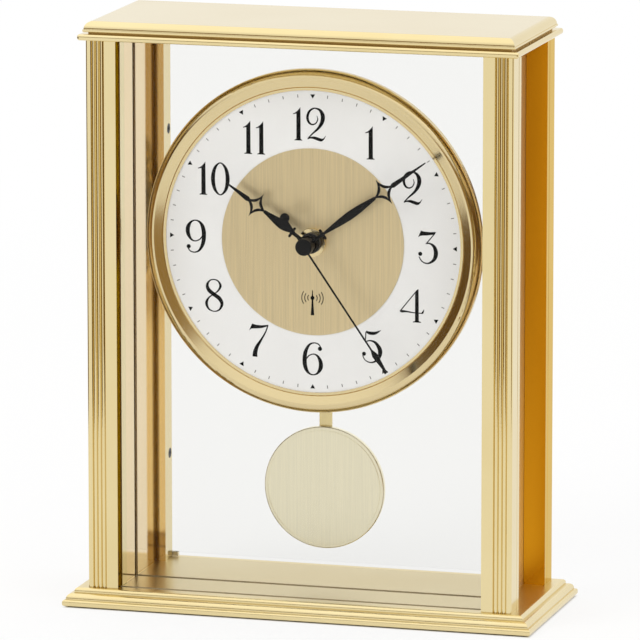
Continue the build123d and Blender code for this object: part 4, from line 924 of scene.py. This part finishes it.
class CLOCK_OT_movement(Operator):
    """Finish the housing, the train, the motors, the battery and the board"""
    bl_idname = "clock.movement"
    bl_label = "Movement"

    def execute(self, context):
        plastic = context.scene.clock_finish.plastic
        housing = lacquer("housing_black", plastic, scaled(plastic, 0.7), rough=(0.45, 0.62), grain=1400.0,
                          bump=0.25)
        dress(["movement_case", "movement_cover", "battery_door", "pendulum_lever"], housing)
        wheel = lacquer("wheel_resin", (0.80, 0.79, 0.73), (0.74, 0.73, 0.67), rough=(0.35, 0.5), grain=500.0,
                        bump=0.05)
        dress(["middle_plate", "train_plate", "hour_wheel", "motion_wheel", "centre_wheel", "seconds_wheel",
               "minute_transfer_wheel", "seconds_transfer_wheel", "minute_rotor", "seconds_rotor"], wheel)
        key = lacquer("button_resin", (0.70, 0.69, 0.66), (0.64, 0.63, 0.60), rough=(0.3, 0.45), grain=500.0,
                      bump=0.05)
        dress(["set_button", "reset_button"], key)
        iron = metal("stator_iron", (0.56, 0.55, 0.53), (0.46, 0.46, 0.45), rough=(0.3, 0.45), grain=300.0,
                     stretch=(1, 1, 0.3), bump=0.08)
        dress(["motor_stators", "battery_contacts", "pendulum_pin", "drive_magnet"], iron)
        # The darker enamel tone between the turns is painted shade
        enamel, enamel_painted_shade, turns_per_metre = (0.62, 0.28, 0.12), (0.36, 0.14, 0.05), 900.0
        coil = wound_wire("coil_wire", enamel, enamel_painted_shade, turns_per_metre)
        dress(["motor_coils", "pendulum_coil"], coil)
        winding = wound_wire("antenna_wire", enamel, enamel_painted_shade, turns_per_metre, core=(0.03, 0.03, 0.032),
                             winding_half=0.0151)
        dress(["antenna"], winding)
        board = lacquer("board_green", (0.030, 0.16, 0.07), (0.018, 0.10, 0.045), rough=(0.3, 0.5),
                        grain=250.0, bump=0.15)
        dress(["circuit_board"], board)
        cell = cell_wrap("cell_wrap", body=(0.025, 0.025, 0.028), cap=(0.55, 0.30, 0.12), split_x=0.0125)
        dress(["battery"], cell)
        return {"FINISHED"}


class CLOCK_OT_screws(Operator):
    """Set the screws of the rear cover and of the door jambs"""
    bl_idname = "clock.screws"
    bl_label = "Screws"

    def execute(self, context):
        tree = screw_pair_tree("screw_pair")
        bright = metal("screw_steel", (0.60, 0.59, 0.57), (0.48, 0.48, 0.47), rough=(0.22, 0.35), grain=400.0,
                       stretch=(1, 1, 1), bump=0.05)
        black = lacquer("screw_black", (0.020, 0.019, 0.018), (0.012, 0.012, 0.012), rough=(0.3, 0.45),
                        grain=400.0, bump=0.05)
        low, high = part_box("cover_screws")
        head_radius, head_height = 0.0022, 0.0014
        seat = high.y - head_height
        sizes = {"Head Radius": head_radius, "Head Height": head_height, "Shank Radius": 0.0012,
                 "Shank Length": seat - low.y, "Recess Width": 0.00055, "Recess Depth": 0.0007,
                 "Material": bright}
        facing_back = Matrix.Rotation(math.radians(-90), 4, "X")
        pairs = []
        for z in (high.z - head_radius, low.z + head_radius):
            spread = width_at("cover_screws", z) - 2 * head_radius
            place = Matrix.Translation((0, seat + head_height / 2, z)) @ facing_back
            pairs.append(mesh_from_tree("cover_pair", tree, dict(sizes, Spread=spread), place))
        piece = piece_from_mesh("cover_screw_set", joined_mesh("cover_screw_set", pairs), bright, "case")
        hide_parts("cover_screws")
        low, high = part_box("jamb_screws")
        head_radius, head_height = (high.y - low.y) / 2, 0.0009
        jamb_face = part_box("door_jamb_right")[0].x
        sizes = {"Head Radius": head_radius, "Head Height": head_height, "Shank Radius": 0.0010,
                 "Shank Length": high.x - jamb_face - head_height, "Recess Width": 0.0005,
                 "Recess Depth": 0.0005, "Spread": high.z - low.z - 2 * head_radius, "Material": black}
        pairs = []
        for side in (-1, 1):
            turn = Matrix.Rotation(math.radians(-90 * side), 4, "Y")
            place = (Matrix.Translation((side * (jamb_face + head_height / 2), (low.y + high.y) / 2,
                                         (low.z + high.z) / 2)) @ turn)
            pairs.append(mesh_from_tree("jamb_pair", tree, sizes, place))
        piece = piece_from_mesh("jamb_screw_set", joined_mesh("jamb_screw_set", pairs), black, "case")
        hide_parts("jamb_screws")
        return {"FINISHED"}


class CLOCK_OT_pendulum(Operator):
    """Finish the rod and the bob"""
    bl_idname = "clock.pendulum"
    bl_label = "Pendulum"

    def execute(self, context):
        look = context.scene.clock_finish
        rod = metal("pendulum_rod_gold", look.gold, look.gold_shade, rough=(0.15, 0.28), grain=120.0,
                    stretch=(4, 4, 0.3), bump=0.05)
        bob = metal("brushed_bob", look.bob_gold, scaled(look.bob_gold, 0.93), rough=(0.26, 0.38),
                    grain=260.0, stretch=(8, 1, 0.12), bump=0.08, brushed=True)
        dress(["pendulum_rod"], rod)
        dress(["pendulum_bob"], bob)
        return {"FINISHED"}


class CLOCK_OT_stage(Operator):
    """Set the floor, the white surroundings, the lamps and the camera"""
    bl_idname = "clock.stage"
    bl_label = "Stage"

    def execute(self, context):
        stage = context.scene.clock_stage
        self.floor(stage)
        self.brown_cards()
        self.sky(context.scene, stage)
        self.lamps()
        self.camera(context.scene, stage)
        context.scene.view_settings.view_transform = "Standard"
        return {"FINISHED"}

    def floor(self, stage):
        """Wide pale floor that keeps the contact shadow, with its glow cut out under the clock as a painted
        shadow, and that passes into the white surroundings further off"""
        half = 6.0
        shadow_edge = (-0.0015, 0.0005)
        fade = (0.25, 0.90)
        glow_near = 0.80
        material, tree, shader = new_material("studio_floor")
        tone = colour_between(tree, object_noise(tree, 3.0), scaled(stage.floor_white, 0.99),
                              stage.floor_white)
        set_inputs(tree, shader, Base_Color=tone, Roughness=0.9)
        white = set_up(tree, "ShaderNodeEmission", Color=(1, 1, 1, 1))
        # Painted shadow: the glow is left out under the clock's outline and fades back in just beyond it
        beyond_side = math_node(tree, "SUBTRACT", away(tree, "X"), cad_box[1].x)
        beyond_end = math_node(tree, "SUBTRACT", away(tree, "Y"), cad_box[1].y)
        beyond = math_node(tree, "MAXIMUM", beyond_side, beyond_end)
        lit = math_node(tree, "MULTIPLY", seen_ray(tree), ramp_between(tree, beyond, *shadow_edge))
        share = math_node(tree, "MULTIPLY_ADD", ramp_between(tree, beyond, *fade), 1 - glow_near, glow_near)
        whole = mix_shaders(tree, math_node(tree, "MULTIPLY", lit, share), shader.outputs["BSDF"],
                            white.outputs["Emission"])
        tree.links.new(whole, tree.nodes["Material Output"].inputs["Surface"])
        floor = flat_sheet("studio_floor", ((-half, -half, 0), (half, -half, 0), (half, half, 0),
                                            (-half, half, 0)), material)

    def brown_cards(self):
        """Two brown cards beside the table, seen by polished metal alone, that give the gold dark bands"""
        card_height = 0.28
        lift = Vector((0, 0, card_height))
        for name, turn, distance, width, tone in (("left_card", -65.5, 0.44, 0.52, (0.14, 0.08, 0.02)),
                                                  ("right_card", 36.8, 0.48, 0.48, (0.36, 0.24, 0.09))):
            angle = math.radians(turn)
            middle = Vector((distance * math.sin(angle), -distance * math.cos(angle), 0))
            along = Vector((math.cos(angle), math.sin(angle), 0)) * width / 2
            material, tree, _ = new_material(name)
            glow = set_up(tree, "ShaderNodeEmission", Color=(*tone, 1))
            tree.links.new(glow.outputs["Emission"], tree.nodes["Material Output"].inputs["Surface"])
            left, right = middle - along, middle + along
            card = flat_sheet(name, (left, right, right + lift, left + lift), material)
            card.visible_camera = False
            card.visible_diffuse = False
            card.visible_transmission = False
            card.visible_shadow = False

    def sky(self, scene, stage):
        """White all round for what the camera, metal and glass see, brown low in front of the clock, and
        softer light for the rest"""
        world = bpy.data.worlds.new("studio_tent")
        world.use_nodes = True
        tree = world.node_tree
        light = set_inputs(tree, tree.nodes["Background"], Color=(1.0, 0.995, 0.985, 1),
                           Strength=stage.sky_strength)
        coords = tree.nodes.new("ShaderNodeTexCoord")
        way = set_up(tree, "ShaderNodeSeparateXYZ", Vector=coords.outputs["Generated"])
        above_table = ramp_between(tree, way.outputs["Z"], -0.03, 0.03)
        below_lamps = ramp_between(tree, way.outputs["Z"], 0.25, 0.11)
        in_front = ramp_between(tree, way.outputs["Y"], 0.05, -0.35)
        band = math_node(tree, "MULTIPLY", math_node(tree, "MULTIPLY", above_table, below_lamps), in_front)
        overhead = ramp_between(tree, way.outputs["Z"], 0.25, 0.80)
        overhead_strength = 1.3
        seen = set_up(tree, "ShaderNodeBackground", Color=blend(tree, band, (1, 1, 1), stage.room_brown),
                      Strength=value_between(tree, overhead, 1.0, overhead_strength))
        whole = mix_shaders(tree, seen_ray(tree), light.outputs["Background"], seen.outputs["Background"])
        tree.links.new(whole, tree.nodes["World Output"].inputs["Surface"])
        scene.world = world

    def lamps(self):
        """Large soft lamp from the upper left, a weaker one from the right and one overhead"""
        aim = Vector((0, 0, 0.11))
        for name, place, size, power in (("key_lamp", (-1.1, -1.5, 1.5), 1.2, 16.0),
                                         ("fill_lamp", (1.6, -1.0, 0.9), 1.2, 6.0),
                                         ("top_lamp", (0.1, 0.3, 1.9), 1.4, 8.0)):
            lamp = bpy.data.lights.new(name, "AREA")
            lamp.energy = power
            lamp.size = size
            holder = bpy.data.objects.new(name, lamp)
            holder.location = place
            holder.rotation_euler = (aim - Vector(place)).to_track_quat("-Z", "Y").to_euler()
            holder.visible_glossy = False
            bpy.context.scene.collection.objects.link(holder)

    def camera(self, scene, stage):
        """Camera at the viewing angle of the picture"""
        flat = stage.distance * math.cos(stage.elevation)
        eye = Vector((flat * math.sin(stage.azimuth), -flat * math.cos(stage.azimuth),
                      stage.middle_height + stage.distance * math.sin(stage.elevation)))
        aim = Vector((stage.aim_side, 0, stage.aim_height))
        camera = bpy.data.cameras.new("picture_camera")
        camera.lens = stage.lens
        camera.sensor_width = 36.0
        camera.clip_end = 50.0
        holder = bpy.data.objects.new("picture_camera", camera)
        holder.location = eye
        holder.rotation_euler = (aim - eye).to_track_quat("-Z", "Y").to_euler()
        scene.collection.objects.link(holder)
        scene.camera = holder


class CLOCK_PT_sidebar(Panel):
    """Lists the steps that dress the clock"""
    bl_idname = "CLOCK_PT_sidebar"
    bl_label = "Pendulum clock"
    bl_space_type = "VIEW_3D"
    bl_region_type = "UI"
    bl_category = "Clock"

    def draw(self, context):
        for step in steps:
            self.layout.operator(step.bl_idname)


steps = (CLOCK_OT_gold_case, CLOCK_OT_panes, CLOCK_OT_dial, CLOCK_OT_dial_print, CLOCK_OT_movement,
         CLOCK_OT_screws, CLOCK_OT_pendulum, CLOCK_OT_stage)
settings = (ClockDialSettings, ClockFinishSettings, ClockStageSettings)
classes = settings + steps + (CLOCK_PT_sidebar,)


def register():
    for cls in classes:
        bpy.utils.register_class(cls)
    bpy.types.Scene.clock_dial = PointerProperty(type=ClockDialSettings)
    bpy.types.Scene.clock_finish = PointerProperty(type=ClockFinishSettings)
    bpy.types.Scene.clock_stage = PointerProperty(type=ClockStageSettings)


def unregister():
    del bpy.types.Scene.clock_stage
    del bpy.types.Scene.clock_finish
    del bpy.types.Scene.clock_dial
    for cls in reversed(classes):
        bpy.utils.unregister_class(cls)


def main():
    register()
    bpy.ops.clock.gold_case()
    bpy.ops.clock.panes()
    bpy.ops.clock.dial()
    bpy.ops.clock.dial_print()
    bpy.ops.clock.movement()
    bpy.ops.clock.screws()
    bpy.ops.clock.pendulum()
    bpy.ops.clock.stage()


if __name__ == "__main__":
    main()
